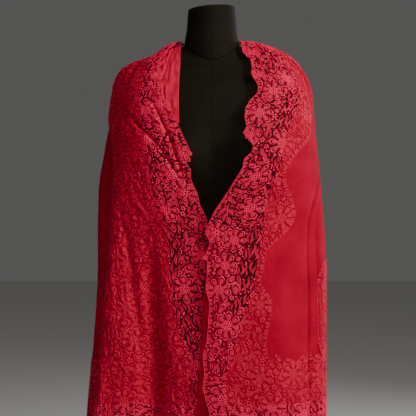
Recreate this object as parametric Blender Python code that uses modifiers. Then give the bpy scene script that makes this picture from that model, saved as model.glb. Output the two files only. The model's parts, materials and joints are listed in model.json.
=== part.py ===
"""A lace-edged wool shawl on a limbless dress form.

One long stole of fine wool, bordered all round with corded floral lace, hangs over the shoulders of the
form. Its two ends fall down the front, where the wearer's left end laps over the right, and its long outer
edge hangs behind as the back hem. Units are metres, +Z is up, the front faces -Y and +X is the wearer's
left. The origin is the centre of the underside of the base, on the floor.

Each cloth wall is a grid of points, thickened inwards. A section is one row of that grid: it runs from the
shawl's inner edge, across the chest, to the fold at the side. Lace that lies on the wool uses the same
points, moved out, and so cannot cut into it.
"""

import math
from collections import namedtuple

import bmesh
import bpy
import numpy as np

# ---------------------------------------------------------------- driving dimensions

WOOL_THICKNESS = 0.0010
LACE_THICKNESS = 0.0010
LAID_GAP = 0.0005           # between the wool and the lace laid on it
SEAM_GAP = 0.0008           # half the space between two stretches of cloth that meet
BORDER_WIDTH = 0.085        # see-through lace between the scalloped edge and the wool's cut edge
HEM_BORDER = 0.095          # the same along the ends and the back hem
HEM_LACE = 0.178            # how far the lace of the ends reaches up from the hem
LEVEL_POWER = 1.8           # rounds the lowest point of each section of the back
SECTION_STEPS = 160         # points used to measure along a section

FORM_GAP = 0.0008           # between the neck block, the body of the form and the pole
POLE_RADIUS = 0.0125
POLE_SIDES = 24
BASE_SIDES = 48
BASE_TOP = 0.030            # top of the boss that takes the pole
# Half of the base's outline, from the top of the boss to the middle of the underside: radius and height.
BASE_PROFILE = [
    (0.000, BASE_TOP),
    (0.020, BASE_TOP),
    (0.024, 0.027),
    (0.026, 0.019),
    (0.034, 0.016),
    (0.178, 0.012),
    (0.188, 0.008),
    (0.190, 0.005),
    (0.190, 0.001),
    (0.189, 0.000),
    (0.000, 0.000),
]

# ---------------------------------------------------------------- tables of the drape

# A section of a front. "in" is its point on the long inner edge and "out" is its point at the side fold.
# Roundness is the exponent of the curve between them: 1 is an ellipse, and less is squarer.
FrontRow = namedtuple("FrontRow", "x_in y_in z_in x_out y_out z_out roundness")

LEFT_FRONT = [
    FrontRow(0.064, 0.000, 1.396, 0.2230, 0.000, 1.268, 1.00),
    FrontRow(0.070, -0.024, 1.389, 0.2232, 0.000, 1.262, 1.00),
    FrontRow(0.090, -0.061, 1.342, 0.2245, 0.002, 1.236, 0.95),
    FrontRow(0.102, -0.100, 1.281, 0.2270, 0.004, 1.202, 0.88),
    FrontRow(0.094, -0.130, 1.225, 0.2300, 0.006, 1.166, 0.84),
    FrontRow(0.089, -0.150, 1.172, 0.2335, 0.008, 1.128, 0.80),
    FrontRow(0.081, -0.157, 1.130, 0.2370, 0.010, 1.092, 0.80),
    FrontRow(0.049, -0.159, 1.078, 0.2410, 0.010, 1.050, 0.80),
    FrontRow(0.004, -0.158, 1.007, 0.2470, 0.010, 0.990, 0.80),
    FrontRow(-0.006, -0.159, 0.926, 0.2510, 0.010, 0.916, 0.80),
    FrontRow(-0.003, -0.161, 0.860, 0.2515, 0.010, 0.852, 0.80),
    FrontRow(-0.008, -0.164, 0.685, 0.2515, 0.010, 0.682, 0.80),
    FrontRow(-0.004, -0.166, 0.600, 0.2515, 0.010, 0.598, 0.80),
    FrontRow(-0.002, -0.168, 0.525, 0.2520, 0.010, 0.525, 0.80),
]

RIGHT_FRONT = [
    FrontRow(-0.070, 0.000, 1.396, -0.2190, 0.000, 1.268, 1.25),
    FrontRow(-0.088, -0.023, 1.387, -0.2192, -0.002, 1.262, 1.22),
    FrontRow(-0.108, -0.054, 1.350, -0.2190, -0.010, 1.236, 1.10),
    FrontRow(-0.115, -0.088, 1.290, -0.2160, -0.022, 1.202, 0.95),
    FrontRow(-0.086, -0.120, 1.215, -0.2130, -0.034, 1.166, 0.85),
    FrontRow(-0.065, -0.142, 1.165, -0.2110, -0.042, 1.128, 0.80),
    FrontRow(-0.056, -0.145, 1.125, -0.2100, -0.048, 1.092, 0.80),
    FrontRow(-0.045, -0.144, 1.078, -0.2110, -0.050, 1.050, 0.80),
    FrontRow(-0.023, -0.143, 1.007, -0.2160, -0.050, 0.990, 0.80),
    FrontRow(0.000, -0.143, 0.926, -0.2210, -0.050, 0.916, 0.80),
    FrontRow(0.010, -0.143, 0.860, -0.2260, -0.050, 0.852, 0.80),
    FrontRow(0.034, -0.143, 0.685, -0.2400, -0.050, 0.682, 0.80),
    FrontRow(0.040, -0.144, 0.600, -0.2480, -0.052, 0.598, 0.80),
    FrontRow(0.045, -0.145, 0.525, -0.2550, -0.054, 0.525, 0.80),
]

# A section of the back, from the right front's border to the left front's. "border" is where it ends on
# them: 0 to 1 runs along the shoulder from the neck to its tip, and 1 + n is row n of the front's side fold.
BackRow = namedtuple("BackRow", "border y_mid z_mid right_roundness left_roundness")

BACK = [
    BackRow(0.00, 0.068, 1.402, 1.00, 1.00),
    BackRow(0.25, 0.104, 1.325, 0.95, 0.95),
    BackRow(0.62, 0.122, 1.215, 0.90, 0.90),
    BackRow(1.00, 0.126, 1.135, 0.82, 0.85),
    BackRow(5.00, 0.128, 1.055, 0.64, 0.80),
    BackRow(7.00, 0.131, 0.990, 0.58, 0.80),
    BackRow(9.00, 0.137, 0.915, 0.57, 0.80),
    BackRow(11.00, 0.146, 0.810, 0.60, 0.80),
    BackRow(12.00, 0.158, 0.655, 0.60, 0.80),
    BackRow(13.00, 0.164, 0.575, 0.60, 0.80),
    BackRow(14.00, 0.171, 0.490, 0.60, 0.80),
]

# A fold is a soft ridge (depth above 0) or trough (below 0) down a panel. Its place and width are fractions
# of the section, and it grows from nothing at height fraction "starts" to its full depth at "full".
Fold = namedtuple("Fold", "place_top place_hem width depth starts full")

LEFT_FOLDS = [
    Fold(0.70, 0.66, 0.055, -0.010, 0.25, 0.60),
    Fold(0.40, 0.42, 0.100, 0.007, 0.50, 0.95),
    Fold(0.88, 0.86, 0.060, -0.008, 0.45, 0.90),
]

RIGHT_FOLDS = [
    Fold(0.50, 0.49, 0.065, -0.024, 0.42, 0.85),
    Fold(0.74, 0.72, 0.090, 0.012, 0.45, 0.90),
    Fold(0.30, 0.30, 0.080, 0.006, 0.55, 0.95),
]

BACK_FOLDS = [
    Fold(0.085, 0.080, 0.042, -0.042, 0.24, 0.52),
    Fold(0.175, 0.200, 0.085, 0.072, 0.08, 0.50),
    Fold(0.200, 0.200, 0.085, -0.020, 0.40, 0.66),
    Fold(0.350, 0.335, 0.050, -0.022, 0.30, 0.90),
    Fold(0.460, 0.450, 0.055, 0.020, 0.35, 0.95),
    Fold(0.580, 0.590, 0.048, -0.024, 0.28, 0.90),
    Fold(0.700, 0.710, 0.052, 0.018, 0.34, 0.95),
    Fold(0.820, 0.830, 0.045, -0.018, 0.30, 0.90),
]

# A lobe of the scalloped edge or of the lace's outline on the wool: its middle and half-length along the
# edge, and how far it stands out.
Lobe = namedtuple("Lobe", "middle half_length reach")

LEFT_SCALLOPS = [
    Lobe(0.040, 0.030, 0.012),
    Lobe(0.105, 0.030, 0.012),
    Lobe(0.205, 0.044, 0.026),
    Lobe(0.268, 0.022, 0.020),
    Lobe(0.325, 0.028, 0.016),
    Lobe(0.390, 0.036, 0.008),
    Lobe(0.470, 0.040, 0.008),
    Lobe(0.545, 0.036, 0.010),
    Lobe(0.625, 0.040, 0.010),
    Lobe(0.710, 0.040, 0.009),
    Lobe(0.800, 0.045, 0.010),
    Lobe(0.890, 0.045, 0.009),
]

RIGHT_SCALLOPS = [
    Lobe(0.050, 0.030, 0.008),
    Lobe(0.120, 0.032, 0.008),
    Lobe(0.190, 0.034, 0.010),
    Lobe(0.265, 0.034, 0.014),
    Lobe(0.335, 0.032, 0.010),
    Lobe(0.405, 0.036, 0.008),
    Lobe(0.490, 0.040, 0.008),
    Lobe(0.580, 0.040, 0.008),
    Lobe(0.670, 0.040, 0.008),
    Lobe(0.760, 0.040, 0.008),
    Lobe(0.850, 0.040, 0.008),
    Lobe(0.930, 0.030, 0.008),
]

LEFT_LACE_EDGE = 0.122      # from the left front's inner edge to the plain stretches of the lace's outline
LEFT_LACE_LOBES = [
    Lobe(0.230, 0.090, 0.040),
    Lobe(0.455, 0.065, 0.068),
    Lobe(0.690, 0.050, 0.024),
    Lobe(0.860, 0.080, 0.030),
]
RIGHT_LACE_EDGE = 1.0       # wider than the right front, which the lace covers whole
LACE_SHARE = 0.62           # the most of a section that the lace's outline may take near the shoulder
CUT_SHARE = 0.80            # the most of the lace's width there that the wool's cut edge may take
HEM_SEAM_SHARE = 0.03       # of a cell: the space left between the two laces of the left front

# The wool's cut edge in each front: distance from the inner edge against distance down that edge.
CutPoint = namedtuple("CutPoint", "along distance")

LEFT_CUT = [
    CutPoint(0.000, 0.052),
    CutPoint(0.145, 0.105),
    CutPoint(0.285, 0.084),
    CutPoint(0.480, 0.108),
    CutPoint(0.700, 0.070),
    CutPoint(0.780, 0.040),
    CutPoint(1.000, 0.040),
]

RIGHT_CUT = [
    CutPoint(0.000, 0.052),
    CutPoint(0.070, 0.040),
    CutPoint(0.200, 0.076),
    CutPoint(0.300, BORDER_WIDTH),
    CutPoint(1.000, BORDER_WIDTH),
]

# The folded layer that shows inside the left front's edge, between the two fronts.
UnderRow = namedtuple("UnderRow", "z x_fold x_hidden")

UNDER_LAYER = [
    UnderRow(0.995, -0.004, 0.006),
    UnderRow(0.965, -0.009, 0.021),
    UnderRow(0.860, -0.027, 0.029),
    UnderRow(0.757, -0.035, 0.037),
    UnderRow(0.674, -0.045, 0.041),
    UnderRow(0.600, -0.056, 0.045),
    UnderRow(0.512, -0.062, 0.048),
]
UNDER_LAYER_Y = -0.1530
UNDER_LAYER_CELLS = (12, 4)     # down and across

# The folded layer that shows beside the neck on the right: its straight fold, from the shoulder down.
# Its far side is tucked under the right front, a little in from that front's scalloped edge.
TURN_CELLS = (9, 4)             # down and across
TURN_START = 0.006              # height fraction of the right front where it begins
TURN_DROP = 0.215               # how far down the right front's edge it goes
TURN_TUCK = 0.022               # from the scalloped edge to its far side
TURN_DEPTH = 0.0042             # how far its far side lies beneath the right front
SMALL_STEP = 0.008              # measures the direction of a surface
CHEST_MIDDLE = (0.0, 0.07, 1.20)    # a point inside the form, which tells in from out
TurnRow = namedtuple("TurnRow", "x y z")

NECK_TURN = [
    TurnRow(-0.0660, -0.003, 1.3930),
    TurnRow(-0.0680, -0.026, 1.3790),
    TurnRow(-0.0680, -0.062, 1.3390),
    TurnRow(-0.0700, -0.088, 1.2900),
    TurnRow(-0.0700, -0.108, 1.2450),
    TurnRow(-0.0690, -0.119, 1.2080),
]

# The tongue of lace laid over the left side fold. It bulges like an ellipse about its middle height.
SIDE_LACE_TOP = 0.911
SIDE_LACE_BOTTOM = 0.700
SIDE_LACE_MIDDLE = 0.806
SIDE_LACE_HALF_HEIGHT = 0.110
SIDE_LACE_ROWS = 11
SIDE_LACE_FRONT = (0.028, 0.058)    # least and most width on the front
SIDE_LACE_BACK = (0.022, 0.048)     # least and most width on the back
SIDE_LACE_COLUMNS = (6, 5)          # on the front and on the back
SIDE_LACE_GAP = 0.0016              # it crosses the seam, where the two grids stand apart

# The body of the form. Its rings dip at the front and rise at the sides towards the neck seam.
FormRow = namedtuple("FormRow", "z_front z_side z_back half_width front back squareness")

FORM_BODY = [
    FormRow(0.700, 0.700, 0.700, 0.152, 0.096, 0.104, 2.3),
    FormRow(0.704, 0.704, 0.704, 0.161, 0.104, 0.112, 2.3),
    FormRow(0.716, 0.716, 0.716, 0.166, 0.108, 0.117, 2.3),
    FormRow(0.790, 0.790, 0.790, 0.171, 0.112, 0.121, 2.3),
    FormRow(0.870, 0.870, 0.870, 0.165, 0.108, 0.114, 2.3),
    FormRow(0.940, 0.940, 0.940, 0.146, 0.099, 0.100, 2.2),
    FormRow(1.015, 1.015, 1.015, 0.122, 0.091, 0.089, 2.2),
    FormRow(1.070, 1.070, 1.070, 0.126, 0.097, 0.092, 2.2),
    FormRow(1.120, 1.120, 1.120, 0.139, 0.106, 0.098, 2.2),
    FormRow(1.165, 1.165, 1.165, 0.150, 0.111, 0.103, 2.2),
    FormRow(1.210, 1.210, 1.212, 0.159, 0.106, 0.107, 2.2),
    FormRow(1.250, 1.252, 1.258, 0.167, 0.096, 0.109, 2.2),
    FormRow(1.282, 1.292, 1.300, 0.172, 0.084, 0.105, 2.2),
    FormRow(1.304, 1.322, 1.330, 0.162, 0.075, 0.097, 2.1),
    FormRow(1.320, 1.343, 1.351, 0.138, 0.065, 0.086, 2.1),
    FormRow(1.333, 1.361, 1.371, 0.106, 0.059, 0.075, 2.0),
    FormRow(1.343, 1.376, 1.387, 0.077, 0.056, 0.066, 2.0),
    FormRow(1.349, 1.386, 1.396, 0.061, 0.055, 0.061, 2.0),
]
BUST_X = 0.072
BUST_Z = 1.150
BUST_REACH = 0.022
BUST_RADIUS = 0.052
FORM_SIDES = 40

# The neck block, above the neck seam. Its top slopes a little, up towards the wearer's left.
NECK_ROWS = [
    FormRow(1.349, 1.386, 1.396, 0.0605, 0.0550, 0.0605, 2.0),
    FormRow(1.375, 1.402, 1.409, 0.0580, 0.0545, 0.0575, 2.0),
    FormRow(1.410, 1.420, 1.423, 0.0550, 0.0530, 0.0550, 2.0),
    FormRow(1.462, 1.462, 1.462, 0.0518, 0.0505, 0.0525, 2.0),
    FormRow(1.467, 1.467, 1.467, 0.0503, 0.0490, 0.0510, 2.0),
    FormRow(1.4685, 1.4685, 1.4685, 0.0470, 0.0460, 0.0480, 2.0),
]
NECK_TOP_SLOPE = 0.07
NECK_SLOPE_FROM = 1.410

# ---------------------------------------------------------------- grid of each panel

# Cells of a front between its inner edge, the wool's cut edge, the lace's outline and the side fold.
BORDER_CELLS = 3
LAID_CELLS = 3
PLAIN_CELLS = 5
# Cells down a front to the top of the hem lace, to the wool's lower cut edge and to the hem.
UPPER_CELLS = 26
HEM_LAID_CELLS = 4
HEM_BORDER_CELLS = 4
# Cells down the back: neck border, lace on wool, plain wool, hem lace on wool, hem border.
BACK_CELLS = (4, 4, 10, 3, 4)
BACK_ACROSS = 26
BACK_CROWDING = 1.35        # crowds the back's columns towards the deep folds at the wearer's right
NECK_CUT_ROW = 1
NECK_LACE_ROW = 2
HEM_SCALLOP_LENGTH = 0.062
HEM_SCALLOP_REACH = 0.012


def clear_scene():
    for obj in list(bpy.data.objects):
        bpy.data.objects.remove(obj, do_unlink=True)


def smooth(stations, values, at):
    """Reads a smooth curve through the table's values, a cubic between each two rows."""
    stations = np.asarray(stations, dtype=float)
    values = np.asarray(values, dtype=float)
    at = np.asarray(at, dtype=float)
    gaps = np.diff(stations)
    rises = np.diff(values) / gaps
    inner = (gaps[:-1] * rises[1:] + gaps[1:] * rises[:-1]) / (gaps[:-1] + gaps[1:])
    slopes = np.concatenate(([rises[0]], inner, [rises[-1]]))
    row = np.clip(np.searchsorted(stations, at) - 1, 0, len(gaps) - 1)
    part = (at - stations[row]) / gaps[row]
    start = values[row] * (2 * part**3 - 3 * part**2 + 1)
    end = values[row + 1] * (3 * part**2 - 2 * part**3)
    leaving = slopes[row] * gaps[row] * (part**3 - 2 * part**2 + part)
    arriving = slopes[row + 1] * gaps[row] * (part**3 - part**2)
    return start + end + leaving + arriving


def ease(value, low, high):
    """Rises smoothly from 0 at low to 1 at high."""
    part = np.clip((value - low) / (high - low), 0.0, 1.0)
    return part * part * (3 - 2 * part)


def distances(points):
    """How far along the line of points each one lies."""
    steps = np.linalg.norm(np.diff(points, axis=0), axis=1)
    return np.concatenate(([0.0], np.cumsum(steps)))


def along(points, lengths, wanted):
    """The points at the wanted distances, carried on straight past either end."""
    inside = np.clip(wanted, 0.0, lengths[-1])
    found = np.stack([np.interp(inside, lengths, axis) for axis in points.T], axis=-1)
    first = (points[2] - points[0]) / np.linalg.norm(points[2] - points[0])
    last = (points[-1] - points[-3]) / np.linalg.norm(points[-1] - points[-3])
    before = np.minimum(wanted, 0.0)[..., None]
    after = np.maximum(wanted - lengths[-1], 0.0)[..., None]
    return found + before * first + after * last


def fold_height(folds, place, down):
    """Height of the folds above the panel at each place across it, at one height fraction."""
    height = np.zeros_like(place)
    for fold in folds:
        middle = fold.place_top + (fold.place_hem - fold.place_top) * down
        depth = fold.depth * ease(down, fold.starts, fold.full)
        height += depth * np.exp(-(((place - middle) / fold.width) ** 2))
    return height


def with_folds(points, folds, down, side):
    """The section with its folds, moved square to it and level."""
    lengths = distances(points)
    travel = np.gradient(points[:, :2], axis=0)
    travel /= np.linalg.norm(travel, axis=1, keepdims=True) + 1e-12
    outward = np.stack([travel[:, 1], -travel[:, 0]], axis=1) * side
    height = fold_height(folds, lengths / lengths[-1], down)
    folded = points.copy()
    folded[:, :2] += outward * height[:, None]
    return folded, lengths


class Front:
    """One front end of the shawl. side is 1 for the wearer's left and -1 for the right."""

    def __init__(self, rows, folds, scallops, cut, side):
        self.table = np.array(rows).T
        edge = self.table[:3].T
        self.edge_length = distances(edge)[-1]
        self.stations = distances(edge) / self.edge_length
        self.folds = folds
        self.scallops = scallops
        self.cut = cut
        self.side = side

    def section(self, down):
        x_in, y_in, z_in, x_out, y_out, z_out, power = (
            smooth(self.stations, column, down) for column in self.table
        )
        angle = np.linspace(0.0, math.pi / 2, SECTION_STEPS)
        rising = np.sin(angle) ** power
        falling = np.clip(np.cos(angle), 0.0, 1.0) ** power
        points = np.stack(
            [
                x_in + (x_out - x_in) * rising,
                y_out + (y_in - y_out) * falling,
                z_out + (z_in - z_out) * falling,
            ],
            axis=1,
        )
        return with_folds(points, self.folds, down, self.side)

    def border(self, place):
        """A point of the edge that the back meets: 0 to 1 on the shoulder, 1 + n at row n of the side."""
        if place <= 1.0:
            points, lengths = self.section(0.0)
            return along(points, lengths, np.array([place * lengths[-1]]))[0]
        down = np.interp(place - 1.0, np.arange(len(self.stations)), self.stations)
        return self.section(down)[0][-1]


def lobed(lobes, distance):
    """How far the outline stands out at a distance along it."""
    reach = np.zeros_like(distance)
    for lobe in lobes:
        part = np.clip(1 - ((distance - lobe.middle) / lobe.half_length) ** 2, 0.0, 1.0)
        reach = np.maximum(reach, lobe.reach * np.sqrt(part))
    return reach


def hem_drop(distance):
    """How far the hem's scallops hang below its line."""
    return HEM_SCALLOP_REACH * np.abs(np.sin(math.pi * distance / HEM_SCALLOP_LENGTH))


def front_downs(front):
    """Height fractions of the grid's rows."""
    top_of_hem_lace = 1 - HEM_LACE / front.edge_length
    wool_ends = 1 - HEM_BORDER / front.edge_length
    return np.concatenate(
        [
            np.linspace(0.0, top_of_hem_lace, UPPER_CELLS + 1),
            np.linspace(top_of_hem_lace, wool_ends, HEM_LAID_CELLS + 1)[1:],
            np.linspace(wool_ends, 1.0, HEM_BORDER_CELLS + 1)[1:],
        ]
    )


def front_grid(front, lace_edge, lace_lobes):
    """The front's points, rows by columns, from its scalloped edge to its side fold."""
    rows = []
    for down in front_downs(front):
        points, lengths = front.section(down)
        travelled = np.array(down * front.edge_length)
        edge = -lobed(front.scallops, travelled)
        cut = smooth([c.along for c in front.cut], [c.distance for c in front.cut], travelled)
        outline = lace_edge + lobed(lace_lobes, travelled)
        # All bands narrow together where the front is narrow, near the shoulder.
        outline = min(outline, LACE_SHARE * lengths[-1])
        cut = min(cut, CUT_SHARE * outline)
        wanted = np.concatenate(
            [
                np.linspace(edge, cut, BORDER_CELLS + 1),
                np.linspace(cut, outline, LAID_CELLS + 1)[1:],
                np.linspace(outline, lengths[-1], PLAIN_CELLS + 1)[1:],
            ]
        )
        row = along(points, lengths, wanted)
        hem_part = ease(down, 1 - HEM_BORDER / front.edge_length, 1.0)
        row[:, 2] -= hem_part * hem_drop(wanted)
        rows.append(row)
    grid = np.array(rows)
    grid[0, :, 1] -= SEAM_GAP
    grid[1:, -1, 1] -= SEAM_GAP
    return grid


class Back:
    """The stretch of the shawl behind the form, between the borders of the two fronts."""

    def __init__(self, rows, folds, left, right):
        self.folds = folds
        self.middle = np.array([[row.y_mid, row.z_mid] for row in rows])
        self.right_roundness = np.array([row.right_roundness for row in rows])
        self.left_roundness = np.array([row.left_roundness for row in rows])
        self.drop = distances(self.middle)[-1]
        self.stations = distances(self.middle) / self.drop
        self.left = left
        self.right = right
        self.borders = np.array([row.border for row in rows])

    def half(self, border, y_mid, z_mid, power):
        angle = np.linspace(0.0, math.pi / 2, SECTION_STEPS)
        rising = np.sin(angle) ** power
        falling = np.clip(np.cos(angle), 0.0, 1.0) ** power
        return np.stack(
            [
                border[0] * falling,
                border[1] + (y_mid - border[1]) * rising,
                z_mid + (border[2] - z_mid) * falling**LEVEL_POWER,
            ],
            axis=1,
        )

    def section(self, down):
        y_mid, z_mid = (smooth(self.stations, column, down) for column in self.middle.T)
        place = np.interp(down, self.stations, self.borders)
        right_power = smooth(self.stations, self.right_roundness, down)
        right_half = self.half(self.right.border(place), y_mid, z_mid, right_power)
        left_power = smooth(self.stations, self.left_roundness, down)
        left_half = self.half(self.left.border(place), y_mid, z_mid, left_power)[::-1]
        points = np.concatenate([right_half, left_half[1:]])
        return with_folds(points, self.folds, down, -1)


def back_grid(back):
    """The back's points, rows by columns, from the neck to the hem and from right to left."""
    stops = [
        0.0,
        back.stations[NECK_CUT_ROW],
        back.stations[NECK_LACE_ROW],
        1 - HEM_LACE / back.drop,
        1 - HEM_BORDER / back.drop,
        1.0,
    ]
    downs = [0.0]
    for start, stop, cells in zip(stops[:-1], stops[1:], BACK_CELLS):
        downs.extend(np.linspace(start, stop, cells + 1)[1:])
    rows = []
    for down in downs:
        points, lengths = back.section(down)
        wanted = lengths[-1] * np.linspace(0.0, 1.0, BACK_ACROSS + 1) ** BACK_CROWDING
        row = along(points, lengths, wanted)
        row[:, 2] -= ease(down, stops[-2], 1.0) * hem_drop(wanted)
        rows.append(row)
    grid = np.array(rows)
    grid[:, 0, 1] += SEAM_GAP
    grid[:, -1, 1] += SEAM_GAP
    return grid


def outward_normals(grid):
    """Unit normals of a grid whose rows run down and whose columns run to the wearer's left."""
    normals = np.cross(np.gradient(grid, axis=0), np.gradient(grid, axis=1))
    return normals / np.linalg.norm(normals, axis=2, keepdims=True)


# ---------------------------------------------------------------- making objects


def material(name, colour, roughness, metallic=0.0):
    made = bpy.data.materials.new(name)
    made.use_nodes = True
    shader = made.node_tree.nodes["Principled BSDF"]
    shader.inputs["Base Color"].default_value = (*colour, 1.0)
    shader.inputs["Roughness"].default_value = roughness
    shader.inputs["Metallic"].default_value = metallic
    made.diffuse_color = (*colour, 1.0)
    return made


def add_object(name, mesh, finish, collection):
    obj = bpy.data.objects.new(name, mesh)
    collection.objects.link(obj)
    mesh.materials.append(finish)
    return obj


def cloth_wall(name, grid, thickness, finish, collection):
    """A wall whose outer face is the grid. Both layers of lace and wool split their cells the same way."""
    build = bmesh.new()
    rows, columns = grid.shape[:2]
    verts = [[build.verts.new(point) for point in row] for row in grid]
    for i in range(rows - 1):
        for j in range(columns - 1):
            top_left, top_right = verts[i][j], verts[i][j + 1]
            low_left, low_right = verts[i + 1][j], verts[i + 1][j + 1]
            build.faces.new((top_left, low_left, low_right))
            build.faces.new((top_left, low_right, top_right))
    mesh = bpy.data.meshes.new(name)
    build.to_mesh(mesh)
    build.free()
    mesh.shade_smooth()
    obj = add_object(name, mesh, finish, collection)
    wall = obj.modifiers.new("Wall", "SOLIDIFY")
    wall.thickness = thickness
    wall.offset = -1.0
    wall.use_rim = True
    return obj


def laid_on(grid, height):
    """The grid's points moved out square to it."""
    return grid + outward_normals(grid) * height


def ring(row, sides):
    """A closed ring of the form at one table row, counted from the wearer's left."""
    angle = 2 * math.pi * np.arange(sides) / sides
    c, s = np.cos(angle), np.sin(angle)
    power = 2 / row.squareness
    depth = np.where(s < 0, row.front, row.back)
    x = row.half_width * np.sign(c) * np.abs(c) ** power
    y = depth * np.sign(s) * np.abs(s) ** power
    z_middle = np.where(s < 0, row.z_front, row.z_back)
    z = row.z_side + (z_middle - row.z_side) * s**2
    return np.stack([x, y, z], axis=1)


def form_rings(rows, cells):
    """Rings through the table, with the cells given between each two rows."""
    table = np.array(rows).T
    at = np.linspace(0, len(rows) - 1, (len(rows) - 1) * cells + 1)
    columns = [smooth(np.arange(len(rows)), column, at) for column in table]
    return [ring(FormRow(*values), FORM_SIDES) for values in zip(*columns)]


def with_bust(points):
    """Adds the two soft rounds of the chest to the front of a ring."""
    x_part = (np.abs(points[:, 0]) - BUST_X) / BUST_RADIUS
    z_part = (points[:, 2] - BUST_Z) / BUST_RADIUS
    front = points[:, 1] < 0
    shaped = points.copy()
    shaped[:, 1] -= front * BUST_REACH * np.exp(-(x_part**2) - z_part**2)
    return shaped


def closed_loft(name, rings, finish, collection):
    """Joins rings of equal counts, bottom to top, and closes each end to a point at its middle."""
    build = bmesh.new()
    loops = [[build.verts.new(point) for point in points] for points in rings]
    count = len(loops[0])
    for low, high in zip(loops[:-1], loops[1:]):
        for k in range(count):
            after = (k + 1) % count
            build.faces.new((low[k], low[after], high[after], high[k]))
    bottom = build.verts.new(rings[0].mean(axis=0))
    top = build.verts.new(rings[-1].mean(axis=0))
    for k in range(count):
        after = (k + 1) % count
        build.faces.new((bottom, loops[0][after], loops[0][k]))
        build.faces.new((top, loops[-1][k], loops[-1][after]))
    mesh = bpy.data.meshes.new(name)
    build.to_mesh(mesh)
    build.free()
    mesh.shade_smooth()
    return add_object(name, mesh, finish, collection)


# ---------------------------------------------------------------- the shawl


def build_left_front(left, wool, lace, collection):
    grid = front_grid(left, LEFT_LACE_EDGE, LEFT_LACE_LOBES)
    raised = laid_on(grid, LAID_GAP + LACE_THICKNESS)
    outline = BORDER_CELLS + LAID_CELLS
    wool_end = UPPER_CELLS + HEM_LAID_CELLS
    cloth_wall("wool_left_front", grid[: wool_end + 1, BORDER_CELLS:], WOOL_THICKNESS, wool, collection)
    cloth_wall("lace_left_front", raised[:, : outline + 1], LACE_THICKNESS, lace, collection)
    hem = raised[UPPER_CELLS:, outline:].copy()
    hem[:, 0] += (hem[:, 1] - hem[:, 0]) * HEM_SEAM_SHARE
    cloth_wall("lace_left_hem", hem, LACE_THICKNESS, lace, collection)


def build_right_front(right, wool, lace, collection):
    # Its columns run to the wearer's right, so they are reversed to make the faces point out.
    grid = front_grid(right, RIGHT_LACE_EDGE, [])
    raised = laid_on(grid[:, ::-1], LAID_GAP + LACE_THICKNESS)
    wool_end = UPPER_CELLS + HEM_LAID_CELLS
    ground = grid[: wool_end + 1, BORDER_CELLS:][:, ::-1]
    cloth_wall("wool_right_front", ground, WOOL_THICKNESS, wool, collection)
    cloth_wall("lace_right_front", raised, LACE_THICKNESS, lace, collection)


def build_back(back, wool, lace, collection):
    # Seen from behind, columns that run to the wearer's left run leftwards, so they are reversed.
    grid = back_grid(back)[:, ::-1]
    raised = laid_on(grid, LAID_GAP + LACE_THICKNESS)
    neck_cut = BACK_CELLS[0]
    neck_lace = neck_cut + BACK_CELLS[1]
    hem_lace = neck_lace + BACK_CELLS[2]
    wool_end = hem_lace + BACK_CELLS[3]
    cloth_wall("wool_back", grid[neck_cut : wool_end + 1], WOOL_THICKNESS, wool, collection)
    cloth_wall("lace_back_neck", raised[: neck_lace + 1], LACE_THICKNESS, lace, collection)
    cloth_wall("lace_back_hem", raised[hem_lace:], LACE_THICKNESS, lace, collection)


def build_under_layer(wool, collection):
    """A level-by-level strip that stands between the two fronts, its fold towards the wearer's right."""
    down, across = UNDER_LAYER_CELLS
    z_levels = np.linspace(UNDER_LAYER[0].z, UNDER_LAYER[-1].z, down + 1)
    falling = [-row.z for row in UNDER_LAYER]
    x_fold = smooth(falling, [row.x_fold for row in UNDER_LAYER], -z_levels)
    x_hidden = smooth(falling, [row.x_hidden for row in UNDER_LAYER], -z_levels)
    grid = np.zeros((down + 1, across + 1, 3))
    for column, part in enumerate(np.linspace(0.0, 1.0, across + 1)):
        grid[:, column, 0] = x_fold + (x_hidden - x_fold) * part
        grid[:, column, 1] = UNDER_LAYER_Y
        grid[:, column, 2] = z_levels
    cloth_wall("under_layer_left", grid, WOOL_THICKNESS, wool, collection)


def build_neck_turn(right, lace, collection):
    """A strip from its straight fold beside the neck to a line under the right front's lace."""
    fold = np.array(NECK_TURN)
    stations = distances(fold) / distances(fold)[-1]
    cells_down, cells_across = TURN_CELLS
    rows = []
    for part in np.linspace(0.0, 1.0, cells_down + 1):
        near = np.array([smooth(stations, column, part) for column in fold.T])
        down = part * TURN_DROP / right.edge_length + TURN_START
        points, lengths = right.section(down)
        hidden, beyond = along(points, lengths, np.array([TURN_TUCK, TURN_TUCK + SMALL_STEP]))
        lower = right.section(down + SMALL_STEP / right.edge_length)[0]
        inward = np.cross(beyond - hidden, lower[0] - points[0])
        inward *= np.sign(np.dot(inward, np.array(CHEST_MIDDLE) - hidden))
        far = hidden + inward / np.linalg.norm(inward) * TURN_DEPTH
        rows.append([near + (far - near) * step for step in np.linspace(0.0, 1.0, cells_across + 1)])
    grid = np.array(rows)[:, ::-1]
    cloth_wall("neck_turn_right", grid, WOOL_THICKNESS, lace, collection)


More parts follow.
